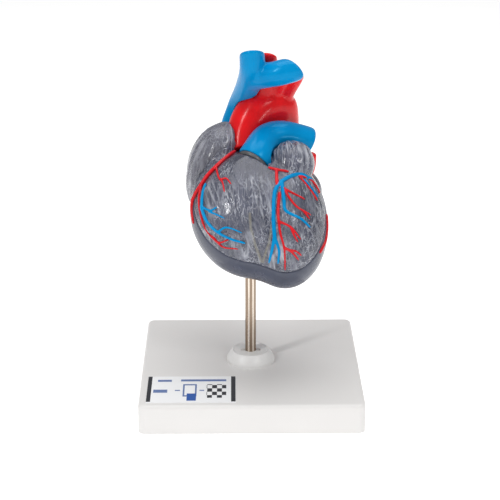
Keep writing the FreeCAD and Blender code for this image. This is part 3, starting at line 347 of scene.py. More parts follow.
class Shader:
    """A material's nodes, added one by one."""

    def __init__(self, name):
        self.material = bpy.data.materials.new(name)
        self.material.use_nodes = True
        self.tree = self.material.node_tree
        self.main = self.tree.nodes["Principled BSDF"]

    def node(self, kind, settings=(), **inputs):
        """A new node; an input's name has _ for each space."""
        made = self.tree.nodes.new(kind)
        for key, value in dict(settings).items():
            setattr(made, key, value)
        for key, value in inputs.items():
            self.join(value, made.inputs[key.replace("_", " ")])
        return made

    def join(self, value, socket):
        """Links a socket's output to an input, or sets the input to a value."""
        if isinstance(value, bpy.types.NodeSocket):
            self.tree.links.new(value, socket)
        else:
            socket.default_value = value

    def set(self, **inputs):
        """Fills inputs of the Principled shader."""
        for key, value in inputs.items():
            self.join(value, self.main.inputs[key.replace("_", " ")])

    def places(self, scale=(1, 1, 1), turn=(0, 0, 0)):
        """Coordinates in millimetres of the part's frame, turned and then stretched."""
        coordinates = self.node("ShaderNodeTexCoord").outputs["Object"]
        turned = self.node("ShaderNodeMapping", Vector=coordinates, Rotation=turn)
        scale = tuple(s / MM for s in scale)
        return self.node("ShaderNodeMapping", Vector=turned.outputs[0], Scale=scale).outputs[0]

    def noise(self, places, scale, detail=3.0, roughness=0.5, distortion=0.0):
        """Smooth noise, scale cells to the millimetre."""
        made = self.node("ShaderNodeTexNoise", Vector=places, Scale=scale, Detail=detail,
                         Roughness=roughness, Distortion=distortion)
        return made.outputs["Fac"]

    def ramp(self, value, low, high, start=0.0, end=1.0):
        """From start where the value is low to end where it is high."""
        made = self.node("ShaderNodeMapRange", Value=value)
        for i, v in ((1, low), (2, high), (3, start), (4, end)):
            made.inputs[i].default_value = v
        return made.outputs[0]

    def maths(self, operation, a, b=0.5):
        made = self.node("ShaderNodeMath", {"operation": operation})
        self.join(a, made.inputs[0])
        self.join(b, made.inputs[1])
        return made.outputs[0]

    def mix(self, factor, a, b):
        made = self.node("ShaderNodeMix", {"data_type": "RGBA"})
        self.join(factor, made.inputs["Factor"])
        for socket, value in ((made.inputs[6], a), (made.inputs[7], b)):
            self.join(value if isinstance(value, bpy.types.NodeSocket) else (*value, 1.0), socket)
        return made.outputs[2]

    def axes(self):
        """The three coordinates in millimetres of the part's frame."""
        parts = self.node("ShaderNodeSeparateXYZ", Vector=self.places())
        return list(parts.outputs)

    def per_vertex(self, name, low, high):
        """A value that the mesh holds for each of its vertices, from 0 at low to 1 at high."""
        return self.ramp(self.node("ShaderNodeAttribute", {"attribute_name": name}).outputs["Fac"], low, high)

    def near(self, point, inner, outer):
        """One near a point given in millimetres from the heart's centre, zero further away."""
        place = Vector(HEART + np.array(point)) * MM
        away = self.node("ShaderNodeVectorMath", {"operation": "DISTANCE"})
        self.join(self.node("ShaderNodeTexCoord").outputs["Object"], away.inputs[0])
        self.join(place, away.inputs[1])
        return self.ramp(away.outputs["Value"], inner * MM, outer * MM, 1.0, 0.0)

    def bump(self, height, distance, strength=1.0, normal=None):
        made = self.node("ShaderNodeBump", Height=height, Distance=distance * MM, Strength=strength)
        if normal:
            self.join(normal, made.inputs["Normal"])
        return made.outputs[0]


def contour_lines(s, places, scale, width, distortion):
    """Thin wandering lines, as where moulded fibres catch the light."""
    level = s.noise(places, scale, 2.0, 0.5, distortion)
    return s.ramp(s.maths("ABSOLUTE", s.maths("SUBTRACT", level, 0.5)), 0.0, width, 1.0, 0.0)


BUNDLE_SEEN = (0.6, 0.55, 0.38)  # the conduction fibres as they show through the wall


def darker(colour, share):
    """The colour with that share of its light."""
    return tuple(c * share for c in colour)


def clear_plastic(name, tint, shade, pale, stretch=(1.0, 1.0, 0.16), turn=(LEAN, 0, 0), see=0.5, lines=0.8,
                  plain=None):
    """Smoky clear plastic with painted highlights: pale colour on the crests of its moulded fibres and on
    finer lines between them.

    plain is a place, with an inner and an outer radius, where there are no lines.
    """
    s = Shader(name)
    along = s.places(stretch, turn)
    clouds = s.noise(s.places(), 0.1, 3.0)
    depth = s.noise(along, 0.16, 2.0)
    threads = s.maths("MAXIMUM", contour_lines(s, along, 0.3, 0.022, 0.4),
                      contour_lines(s, along, 0.62, 0.03, 0.3))
    if plain:
        threads = s.maths("MULTIPLY", threads, s.maths("SUBTRACT", 1.0, s.near(*plain)))
    crests = s.per_vertex("lift", 0.06, 0.3)
    # Painted highlight: pale colour on the lifted crests and the thin lines, where moulded fibres would catch
    # the light.
    painted_highlight_share = s.maths("MULTIPLY", s.maths("MAXIMUM", threads, crests),
                         s.ramp(clouds, 0.38, 0.62, 0.25, lines))
    dark_threads = contour_lines(s, along, 0.45, 0.03, 0.6)
    body = s.mix(s.ramp(depth, 0.35, 0.65), shade, tint)
    body = s.mix(s.maths("MULTIPLY", dark_threads, 0.45), body, darker(shade, 0.5))
    if plain:
        body = s.mix(s.maths("MULTIPLY", s.near(*plain), 0.35), body, darker(shade, 0.7))
    body = s.mix(s.per_vertex("marks", 0.0, 2.2), body, BUNDLE_SEEN)
    s.set(Base_Color=s.mix(painted_highlight_share, body, pale), Roughness=0.2, IOR=1.2)
    s.set(Coat_Weight=0.8, Coat_Roughness=0.1)
    s.join(s.ramp(painted_highlight_share, 0.0, 1.0, see, see * 0.3), s.main.inputs["Transmission Weight"])
    grain = s.bump(s.noise(along, 0.9, 3.0), 0.25, 0.12)
    relief = s.bump(threads, 0.25, 0.35, grain)
    s.join(relief, s.main.inputs["Normal"])
    s.join(relief, s.main.inputs["Coat Normal"])
    return s.material


def smoky_plastic(name, tint, shade, see=0.15):
    """The darker, smoother plastic of the rear half."""
    s = Shader(name)
    clouds = s.noise(s.places(), 0.09, 3.0)
    s.set(Base_Color=s.mix(s.ramp(clouds, NOISE_LOW, NOISE_HIGH), shade, tint))
    s.set(IOR=1.45, Transmission_Weight=see)
    s.join(s.ramp(clouds, NOISE_LOW, NOISE_HIGH, 0.2, 0.3), s.main.inputs["Roughness"])
    s.join(s.bump(s.noise(s.places(), 0.5, 3.0), 0.12, 0.4), s.main.inputs["Normal"])
    return s.material


def paint(name, colour, deep, gloss=(1.0, 1.0, 1.0)):
    """Thick gloss paint, brushed on by hand: a little uneven in colour and in thickness."""
    s = Shader(name)
    uneven = s.noise(s.places(), 0.1, 3.0)
    strokes = s.noise(s.places((1, 1, 0.35)), 0.7, 4.0, 0.6)
    s.set(Base_Color=s.mix(s.ramp(uneven, 0.38, 0.68), colour, deep), IOR=1.35, Specular_Tint=(*gloss, 1.0))
    s.join(s.ramp(strokes, NOISE_LOW, NOISE_HIGH, 0.15, 0.27), s.main.inputs["Roughness"])
    s.join(s.bump(strokes, 0.05, 0.5), s.main.inputs["Normal"])
    return s.material


def white_gloss():
    """White moulded plastic with a faint mottle."""
    s = Shader("moulded_white")
    mottle = s.noise(s.places(), 0.03, 3.0)
    share = s.ramp(mottle, NOISE_LOW, NOISE_HIGH)
    s.set(Base_Color=s.mix(share, (0.80, 0.785, 0.77), (0.785, 0.77, 0.755)), IOR=1.4)
    s.join(s.ramp(mottle, NOISE_LOW, NOISE_HIGH, 0.3, 0.36), s.main.inputs["Roughness"])
    s.join(s.bump(s.noise(s.places(), 0.5, 2.0), 0.01, 0.3), s.main.inputs["Normal"])
    return s.material


PAINTED_DULL_MIDDLE, PAINTED_BAND_STEP = 0.15, 2.417  # the painted dull band in front, and the distance between two: painted reflections along the rod


def steel():
    """Drawn steel with painted reflections: bright and dull bands of colour along the rod, set by x."""
    s = Shader("steel_painted_reflections")
    x = s.axes()[0]
    # Painted reflection: the lamps' bright streaks and the dull bands between them are painted into the
    # colour by x.
    turns = s.maths("MULTIPLY", s.maths("ADD", x, -PAINTED_DULL_MIDDLE), 2 * math.pi / PAINTED_BAND_STEP)
    painted_reflection_bands = s.maths("COSINE", turns)
    scratches = s.noise(s.places((1, 1, 0.02)), 2.2, 3.0)
    level = s.maths("ADD", painted_reflection_bands, s.ramp(scratches, NOISE_LOW, NOISE_HIGH, -0.4, 0.4))
    s.set(Base_Color=s.mix(s.ramp(level, -1.1, 0.1), (0.9, 0.8, 0.7), (0.3, 0.225, 0.165)), Metallic=1.0)
    s.join(s.ramp(scratches, NOISE_LOW, NOISE_HIGH, 0.2, 0.3), s.main.inputs["Roughness"])
    s.join(s.bump(scratches, 0.03, 0.4), s.main.inputs["Normal"])
    return s.material


def satin(name, colour, rough=0.45):
    """Any small moulded or machined piece with a satin finish."""
    s = Shader(name)
    mottle = s.noise(s.places(), 0.3, 3.0)
    s.set(Base_Color=s.mix(mottle, colour, darker(colour, 0.9)))
    s.join(s.ramp(mottle, NOISE_LOW, NOISE_HIGH, rough - 0.06, rough + 0.06), s.main.inputs["Roughness"])
    s.join(s.bump(s.noise(s.places(), 1.4), 0.02, 0.4), s.main.inputs["Normal"])
    return s.material


INK, PAPER = (0.02, 0.022, 0.03), (0.96, 0.965, 0.975)
LINE_BLUE, SOLID_BLUE = (0.13, 0.2, 0.42), (0.02, 0.1, 0.4)
LABEL_MARKS = [  # colour, then left, right, low and high edge of each mark in millimetres on the plate
    (INK, [(-56.0, -53.6, -54.7, -21.4), (-10.9, -8.5, -54.7, -21.4)]),
    (LINE_BLUE, [(-38.0, -13.5, -29.2, -26.6), (-50.5, -43.0, -29.6, -27.0), (-52.5, -45.0, -43.5, -39.5)]),
    (LINE_BLUE, [(-36.7, -29.3, -48.3, -32.7), (-41.0, -38.2, -41.3, -40.0), (-27.8, -25.3, -41.3, -40.0)]),
    (PAPER, [(-35.8, -30.2, -46.7, -34.3)]),
    (SOLID_BLUE, [(-34.5, -29.5, -53.5, -44.5)]),
]
CHECKER = (-24.0, -13.5, -50.0, -33.0)  # edges of the checker block


def label_print():
    """A pale film with dark ends, a few plain bars and squares and a coarse checker block."""
    s = Shader("label_film")
    x, y = s.axes()[:2]

    def between(value, low, high):
        off_middle = s.maths("ABSOLUTE", s.maths("SUBTRACT", value, (low + high) / 2))
        return s.maths("LESS_THAN", off_middle, (high - low) / 2)

    def inside(left, right, low, high):
        return s.maths("MULTIPLY", between(x, left, right), between(y, low, high))

    colour = s.mix(s.noise(s.places(), 0.2), PAPER, darker(PAPER, 0.97))
    for ink, marks in LABEL_MARKS:
        for mark in marks:
            colour = s.mix(inside(*mark), colour, ink)
    squares = s.node("ShaderNodeTexChecker", Vector=s.places((1, 0.62, 0)), Scale=0.38)
    printed = s.maths("MULTIPLY", inside(*CHECKER), squares.outputs["Fac"])
    s.set(Base_Color=s.mix(printed, colour, INK), Roughness=0.35)
    s.join(s.bump(s.noise(s.places(), 1.0), 0.01, 0.3), s.main.inputs["Normal"])
    return s.material


# The third colour of each clear plastic is its painted highlight on the fibres.
FRONT_CLEAR = clear_plastic("front_clear", (0.215, 0.225, 0.3), (0.118, 0.128, 0.178), (0.66, 0.68, 0.74),
                            plain=(raised((-4, -24, 21)), 9, 16))
ATRIUM_CLEAR = clear_plastic("atrium_clear", (0.265, 0.27, 0.33), (0.15, 0.155, 0.2), (0.66, 0.67, 0.73),
                             (1.3, 1.0, 0.25), (0, math.radians(24), 0), lines=0.7)
BAND_CLEAR = smoky_plastic("band_clear", (0.11, 0.112, 0.12), (0.085, 0.087, 0.09), 0.1)
REAR_CLEAR = smoky_plastic("rear_clear", (0.085, 0.095, 0.14), (0.062, 0.07, 0.105))
MUSCLE_CLEAR = clear_plastic("muscle_clear", (0.5, 0.5, 0.53), (0.4, 0.4, 0.42), (0.8, 0.8, 0.82), see=0.4)
RED = paint("artery_paint", (0.86, 0.008, 0.012), (0.66, 0.006, 0.01))
CORONARY_RED = paint("coronary_paint", (0.72, 0.01, 0.018), (0.56, 0.008, 0.014))
BLUE = paint("vein_paint", (0.0, 0.27, 0.6), (0.0, 0.235, 0.54), gloss=(0.3, 0.85, 1.0))
YELLOW = paint("conduction_paint", (0.62, 0.55, 0.2), (0.5, 0.45, 0.16))

# ------------------------------------------------------------------ fibres
def comb_muscles(p):
    """Comb-like muscles that run over the right atrium from its top to its foot."""
    comb = meridians(p, RIGHT_ATRIUM, 2.6, 11) * 0.5 + meridians(p, RIGHT_ATRIUM, 1.9, 14) * 0.35
    seam = np.exp(-(front_path(leaning(p.T)) / 0.6) ** 2) * 0.2  # hides the line where the front wall ends
    return np.maximum(comb * np.clip(0.75 + 0.9 * noise(p, 8.0, 12), 0.3, 1), seam)


# Lines on the front wall, by the leaning frame's x and z
RIGHT_CORONARY = [(-13.5, 29.5), (-19, 23.5), (-24, 18), (-28, 14), (-31, 10), (-35.5, 4.5), (-36, -1)]
BUNDLE_LINES = [[(-5.8, -13), (-5.4, -20), (-2.8, -28), (0.6, -35)], [(5.8, -18), (4.3, -27), (0.6, -35)]]


def distance_to(path, x, z):
    """How far points are from a line through the given ones, in the leaning frame's x and z."""
    near = np.full(len(x), 99.0)
    for a, b in zip(path, path[1:]):
        way = np.subtract(b, a)
        t = np.clip(((x - a[0]) * way[0] + (z - a[1]) * way[1]) / (way @ way), 0, 1)
        near = np.minimum(near, np.hypot(x - a[0] - way[0] * t, z - a[1] - way[1] * t))
    return near


def bundle_marks(p):
    """Where the bundle branches show through the front wall."""
    x, y, z = leaning(p.T)
    near = np.min([distance_to(line, x, z) for line in BUNDLE_LINES], axis=0)
    return np.where(y < PARTING - 2, np.clip(1.6 - near / 0.55, 0, 1), 0.0)


FIBRE_SLANT = 0.3  # sideways for each step upwards


def outer_fibres(p, q, slanted, on_atrium, on_lobe):
    """Fine fibres outside: crossed on the ventricles, combed on the atrium's tip and the lobe."""
    x, z = q[:, 0], q[:, 2]
    flat = slanted * (1, 0, 1)
    fibres = creases(noise(flat, (2.4, 1.0, 11.0), 1), 0.3) * 0.28
    fibres += creases(noise(flat, (1.7, 1.0, 6.0), 2), 0.3) * 0.2
    fading = np.clip((11 - z) / 4, 0, 1)  # the conus is smooth
    fibres = np.where(on_lobe, meridians(q, LOBE, 2.2, 6) * 0.45, fibres * np.where(x < 8, fading, 1.0))
    return np.where(on_atrium, comb_muscles(p), fibres)


def wall_relief(p):
    """Muscle fibres: fine outside on the front wall, coarse inside, none on the rear wall's outside."""
    q = np.stack(leaning(p.T), axis=1)
    x, y, z = columns = tuple(q.T)
    on_atrium = (atrium(tuple(p.T)) < 0.3) & (x < -8)
    on_lobe = (ellipsoid(columns, LOBE) > -1.0) & (z > 12) & (x > 7)
    outside = (ventricles(columns) > -1.2) | on_atrium | on_lobe
    slanted = np.stack([x + FIBRE_SLANT * z, y, z - FIBRE_SLANT * x], axis=1)
    calm = np.clip(0.7 + 0.8 * noise(q, 9.0, 5), 0, 1)
    groove = np.exp(-(distance_to(RIGHT_CORONARY, x, z) / 2.0) ** 2) * 0.8
    fibres = outer_fibres(p, q, slanted, on_atrium, on_lobe) * calm - groove
    beams = creases(noise(slanted, (4.5, 5.0, 15.0), 3), 0.5) * 0.9
    beams += noise(slanted, (1.6, 2.0, 5.0), 4) * 0.15
    edge = np.clip((np.abs(y - PARTING) - 0.4) / 1.5, 0, 1)
    return np.where(outside, np.where(y < PARTING - 0.5, fibres, 0.0), beams) * edge


# ------------------------------------------------------------------ ventricle shells
STEP, FRONT_STEP = 0.45, 0.36  # voxels of the large shells and, finer, of the front one
TIP_FILLET, LOBE_FILLET = 1.5, 1.2  # where the atrium's tip and the auricle's lobe meet the front wall
BAND_STEP = 0.35
TRICUSPID_WAY = RIGHT_ATRIUM["centre"], raised(RIGHT["centre"])
MITRAL_WAY = raised(LEFT_ATRIUM["centre"]), raised(LEFT["centre"])
WAY_RADIUS, OUTFLOW_RADIUS = 8.0, 6.6
OUTFLOW = raised((9, -1, 12)), raised((-9.3, -4, 37))  # from the left ventricle into the aorta


def way_rows(start, end):
    """A round way from an atrium most of the way towards its ventricle's middle."""
    start, end = np.array(start, float), np.array(end, float)
    return np.array([[*start, WAY_RADIUS], [*(start + (end - start) * 0.75), WAY_RADIUS]])


def build_rear_shell():
    """The ventricles' wall behind the parting plane, with the rod's hole and the ways in and out."""
    block = Block((-40, -42, -38), (40, 36, 38), STEP)
    q = leaning(block.p)
    outer = rounded_cut(ventricles(q), -over_ring(q), 1.0)
    wall = np.maximum(outer, -chambers(q))
    rear = rounded_cut(wall, PARTING - q[1], 0.8)
    from_rod = np.hypot(block.p[0] + HEART[0], block.p[1] + HEART[1])
    bush = np.maximum(from_rod - BUSH_RADIUS, block.p[2] - (BUSH_TOP - HEART[2]))
    ways = block.empty()
    for way in (TRICUSPID_WAY, MITRAL_WAY):
        block.add_tube(ways, way_rows(*way))
    block.add_tube(ways, np.array([[*c, OUTFLOW_RADIUS] for c in OUTFLOW]))
    rear = np.maximum(np.maximum(rear, -bush), -ways)
    piece_from_field("rear_shell", block, rear, "heart", ["rear_heart_wall"], REAR_CLEAR,
                     wall_relief)


def before_parting(field, q):
    """The part of a field in front of the parting plane."""
    return rounded_cut(field, q[1] - (PARTING - PARTING_GAP), 0.4)


def build_front_shell():
    """The front wall with the tip of the right atrium and the auricle's lobe."""
    block = Block((-40, -42, -38), (40, 18, 38), FRONT_STEP)
    q = leaning(block.p)
    wall = np.maximum(rounded_cut(ventricles(q), -over_ring(q, wider=5.0), 1.0), -chambers(q))
    lobe_space = np.maximum(ellipsoid(q, LOBE_SPACE, ATRIUM_WALL), -ventricles(q))
    lobe = np.maximum(ellipsoid(q, LOBE), -lobe_space)
    tip = np.maximum(right_atrium_field(block), front_path(q) + SEAM)
    front = rounded_cut(blended(wall, tip, TIP_FILLET), SEAM - over_ring(q, BAND_HEIGHT), 0.6)
    front = np.maximum(blended(front, lobe, LOBE_FILLET), -chambers(q))
    piece_from_field("front_shell", block, before_parting(front, q), "front_wall", ["front_heart_wall"],
                     FRONT_CLEAR, wall_relief, marks=bundle_marks)


def build_conus_band():
    """The front half of the flat band, which comes off with the front wall."""
    block = Block((-18, -32, 5), (14, 12, 40), BAND_STEP)
    q = leaning(block.p)
    band = np.maximum(ring_band(q), -ellipsoid(q, CONUS, RIGHT_WALL - 1.5))
    band = np.maximum(before_parting(band, q), -(over_ring(q) - SEAM))
    piece_from_field("conus_band", block, band, "front_wall", ["front_heart_wall"], BAND_CLEAR)


# ------------------------------------------------------------------ great vessels, upright from the centre
VESSELS = {  # points, radii there, and how much further each one reaches back from its first point
    "aorta": ([(-8.9, 22, 27.6), (-7.5, 26.5, 37), (-3.6, 29.5, 46), (3.5, 33.5, 51.6), (10.5, 38, 49.5),
               (12.5, 41, 42), (12.8, 42, 34)], [8.6, 9.2, 9.6, 9.6, 9.0, 8.2, 8.0], 8),
    "brachiocephalic_artery": ([(1.5, 30, 55.2), (4.1, 28, 66.9), (5.3, 24, 81.6)], [3.9, 3.7, 3.7], 0),
    "carotid_artery": ([(7, 32, 57), (10.7, 30, 64.1), (12.8, 28, 70.2)], [3.4, 3.4, 3.4], 0),
    "subclavian_artery": ([(12, 36, 54.8), (16.2, 33, 63.4), (19.9, 30, 70.2)], [4.4, 4.4, 4], 0),
    "superior_vein": ([(-14, 38, 37.5), (-12, 39, 43.2), (-9.3, 38.5, 51.6), (-6, 29, 63),
                       (-4, 17, 75.6), (-4.2, 14, 85.2)], [6.2, 6, 6, 6, 5.8, 5.5], 5),
    "brachiocephalic_vein": ([(-5.5, 26, 67), (1.6, 17, 71.5), (9.5, 12.5, 74.2), (14.5, 11.5, 75.7),
                              (19, 11, 76.9)], [4.6, 5.4, 5.5, 5.2, 4.9], 0),
    "pulmonary_trunk": ([(-3.1, 4.7, 27.4), (-0.2, 8.7, 31.5), (4.2, 16, 37), (12, 19, 38.8),
                         (20.5, 22, 36.2), (27.2, 24, 33)], [9, 8.4, 7.4, 6.4, 6.4, 6.8], 6),
    "right_pulmonary_artery": ([(8, 18, 37), (7, 28, 29.5), (2, 39, 26), (-8, 47, 24), (-22, 50, 22)],
                               [5, 5, 5, 5, 5], 0),
    "inferior_vein": ([(-22, 27, 0), (-21.5, 26.5, -10), (-21, 26, -21)], [7, 7, 7], 0),
    "left_upper_vein": ([(22, 30, 9), (26.3, 30.5, 16.5), (27, 31, 25)], [3.6, 3.6, 3.6], 2),
    "left_lower_vein": ([(20, 38, 2), (24, 43, 2), (27, 48, 2)], [3.6, 3.6, 3.6], 2),
    "right_upper_vein": ([(-4, 42, 8), (-12, 50, 10), (-18, 54, 11)], [3.6, 3.6, 3.6], 6),
    "right_lower_vein": ([(-4, 42, -2), (-11, 50, -4), (-17, 53, -5)], [3.6, 3.6, 3.6], 6),
}
END_FACES = {  # which way the flat end of a vessel looks, where it isn't square to the vessel
    "superior_vein": (-0.05, 0.42, 0.9),
    "brachiocephalic_vein": (0.7, 0.5, 0.5),
    "brachiocephalic_artery": (0.2, 0.45, 0.87),
    "carotid_artery": (0.2, 0.45, 0.87),
    "subclavian_artery": (0.3, 0.45, 0.84),
}
ARCH_WEB = np.array([(0.5, 29.5, 43.5, 7.5), (8.5, 34, 43, 7.5)])  # between the arch's two legs
ARCH = ["aorta", "brachiocephalic_artery", "carotid_artery", "subclavian_artery"]
TRUNK = ["pulmonary_trunk", "right_pulmonary_artery"]
OPEN_ENDS = 5.5  # how far a vessel runs past its end before it is cut off
BRANCH_FILLET, RIM_ROUNDING = 2.5, 1.6
VESSEL_MARGIN, VESSEL_SEAM = 12, 0.1  # room round a vessel's line, and the gap to what it runs into


def vessel_rows(name, thinner=0.0):
    """Rows (x, y, z, radius) along a great vessel, longer at its start."""
    points, radii, start = VESSELS[name]
    rows = smooth_path([(*p, r) for p, r in zip(points, radii)], 5)
    way = rows[0, :3] - rows[1, :3]
    first = rows[0].copy()
    first[:3] += way / np.linalg.norm(way) * start
    rows = np.vstack([first, rows]) if start else rows
    rows[:, 3] -= thinner
    return rows


def longer(rows, by):
    """The rows with one more past the end."""
    way = rows[-1, :3] - rows[-2, :3]
    past = rows[-1].copy()
    past[:3] += way / np.linalg.norm(way) * by
    return np.vstack([rows, past])


def end_cut(block, name, rows):
    """Positive beyond the flat end of a vessel, and only near that end."""
    end = rows[-1, :3]
    way = np.array(END_FACES.get(name, rows[-1, :3] - rows[-2, :3]))
    way = way / np.linalg.norm(way)
    beyond = sum((a - c) * w for a, c, w in zip(block.p, end, way))
    away = np.sqrt(sum((a - c) ** 2 for a, c in zip(block.p, end)))
    return np.minimum(beyond, rows[-1, 3] + OPEN_ENDS + 2 - away)


def great_vessel(name, replaced, parts, wall, material, without, web=None):
    """A vessel with its branches, hollow and open at its ends, less what it runs into."""
    rows = [vessel_rows(each) for each in parts]
    every = np.vstack(rows)
    low, high = every[:, :3].min(0) - VESSEL_MARGIN, every[:, :3].max(0) + VESSEL_MARGIN
    block = Block(low, high, STEP)
    field = block.empty()
    hollow = block.empty()
    tubes = []
    for each, line in zip(parts, rows):
        block.add_tube(field, longer(line, OPEN_ENDS), BRANCH_FILLET)
        block.add_tube(hollow, longer(vessel_rows(each, wall), OPEN_ENDS))
        tubes.append(block.empty())
        block.add_tube(tubes[-1], line)
    if web is not None:
        block.add_tube(field, web, BRANCH_FILLET)
    for place, (each, line) in enumerate(zip(parts, rows)):
        cut = end_cut(block, each, line)
        for other in tubes[:place] + tubes[place + 1:]:
            cut = np.minimum(cut, other - RIM_ROUNDING)
        field = rounded_cut(field, cut, RIM_ROUNDING)
    field = rounded_cut(field, -hollow, 0.8)
    field = np.maximum(field, -(without(block) - VESSEL_SEAM))
    piece_from_field(name, block, field, "heart", [replaced], material)


def forward_of(block):
    """What the front wall fills or sweeps."""
    return front_path(leaning(block.p))


def tubes_field(block, parts):
    """Vessels without their hollows."""
    field = block.empty()
    for each in parts:
        block.add_tube(field, vessel_rows(each), BRANCH_FILLET)
    return field


def arch_field(block):
    return tubes_field(block, ARCH)


def trunk_field(block):
    return tubes_field(block, TRUNK)


def right_atrium_field(block):
    return atrium(block.p)


def left_atrium_field(block):
    return ellipsoid(leaning(block.p), LEFT_ATRIUM)


def build_great_vessels():
    great_vessel("aorta_arch", "aorta", ARCH, VESSEL_WALL, RED, forward_of, ARCH_WEB)
    great_vessel("pulmonary_arteries", "pulmonary_trunk", TRUNK, VESSEL_WALL, BLUE,
                 lambda b: np.minimum(forward_of(b), arch_field(b)))
    great_vessel("upper_veins", "superior_vena_cava", ["superior_vein", "brachiocephalic_vein"],
                 VESSEL_WALL, BLUE, lambda b: np.minimum(right_atrium_field(b), arch_field(b)))
    great_vessel("lower_vein", "inferior_vena_cava", ["inferior_vein"], VESSEL_WALL, BLUE,
                 lambda b: np.minimum(right_atrium_field(b), ventricles(leaning(b.p))))
    great_vessel("left_lung_veins", "left_pulmonary_veins", ["left_upper_vein", "left_lower_vein"],
                 VEIN_WALL, RED,
                 lambda b: np.minimum(left_atrium_field(b), ventricles(leaning(b.p))))
    great_vessel("right_lung_veins", "right_pulmonary_veins", ["right_upper_vein", "right_lower_vein"],
                 VEIN_WALL, RED, left_atrium_field)


# ------------------------------------------------------------------ atria
def auricle_relief(p):
    """Fine comb-like fibres on the left atrium and its auricle."""
    return meridians(np.stack(leaning(p.T), axis=1), AURICLE, 2.2, 13) * 0.3


def atrium_shell(name, replaced, block, outer, inner, others, relief, way=None, rounding=0.8):
    """A hollow shell that keeps its wall and a seam where it meets other shells."""
    hollow = np.maximum(inner, ATRIUM_WALL - others)
    if way:
        block.add_tube(hollow, way_rows(*way))
    field = rounded_cut(np.maximum(outer, -hollow), SEAM - others, rounding)
    piece_from_field(name, block, field, "heart", [replaced], ATRIUM_CLEAR, relief)


def build_right_atrium():
    block = Block((-43, 3, -8), (0, 45, 49), STEP)
    others = np.minimum(np.minimum(forward_of(block), arch_field(block)), trunk_field(block))
    atrium_shell("right_atrium_shell", "right_atrium", block, right_atrium_field(block),
                 atrium(block.p, ATRIUM_WALL), others, comb_muscles, TRICUSPID_WAY, rounding=0.3)


def build_left_atrium():
    block = Block((-14, 15, -12), (40, 48, 26), STEP)
    q = leaning(block.p)
    others = np.minimum(ventricles(q), right_atrium_field(block))
    atrium_shell("left_atrium_shell", "left_atrium", block, left_atrium_field(block),
                 ellipsoid(q, LEFT_ATRIUM, ATRIUM_WALL), others, auricle_relief, MITRAL_WAY)


def build_left_auricle():
    block = Block((3, -5, 6), (36, 32, 38), STEP)
    q = leaning(block.p)
    others = np.minimum(np.minimum(forward_of(block), left_atrium_field(block)),
                        np.minimum(arch_field(block), trunk_field(block)))
    atrium_shell("left_auricle_shell", "left_auricle", block, ellipsoid(q, AURICLE),
                 ellipsoid(q, AURICLE, ATRIUM_WALL), others, auricle_relief)


# ------------------------------------------------------------------ coronary vessels
CORONARY_STEP, CORONARY_FILLET, CORONARY_MARGIN = 0.3, 0.6, 3
LINE_START, LINE_MOVES, LINE_SHARE = 45.0, 80, 0.8  # how a line along the depth axis closes in on a surface


def on_surface(x, z, way):
    """Depths where lines along the depth axis meet the ventricles' outside, from in front or behind."""
    y = np.full(len(x), LINE_START * way)
    for _ in range(LINE_MOVES):
        near = ventricles((x, y, z))
        if way < 0:
            near = blended(near, ellipsoid((x, y, z), LOBE), LOBE_FILLET)
            near = blended(near, atrium(raised((x, y, z))), TIP_FILLET)
        y = y - way * LINE_SHARE * np.maximum(near, 0.0)
    return y


def coronary(name, body, paths, material, way=-1):
    """Raised vessels on the ventricles. Each path is its first radius, its last and its points (x, z)."""
    rows = []
    for start, end, points in paths:
        flat = smooth_path(points, 6)
        x, z = flat[:, 0], flat[:, 1]
        radius = np.linspace(start, end, len(flat))
        y = on_surface(x, z, way) + way * (0.42 - 0.3 * radius)  # a thick vessel lies deeper
        rows.append(np.stack([*raised((x, y, z)), radius], axis=1))
    every = np.vstack(rows)
    block = Block(every[:, :3].min(0) - CORONARY_MARGIN, every[:, :3].max(0) + CORONARY_MARGIN, CORONARY_STEP)
    field = block.empty()
    for line in rows:
        block.add_tube(field, line, CORONARY_FILLET)
    behind = leaning(block.p)[1] - PARTING
    half = (behind if body == "front_wall" else -behind) + PARTING_GAP / 2
    piece_from_field(name + "_relief", block, np.maximum(field, half), body, [name], material, rounds=1)


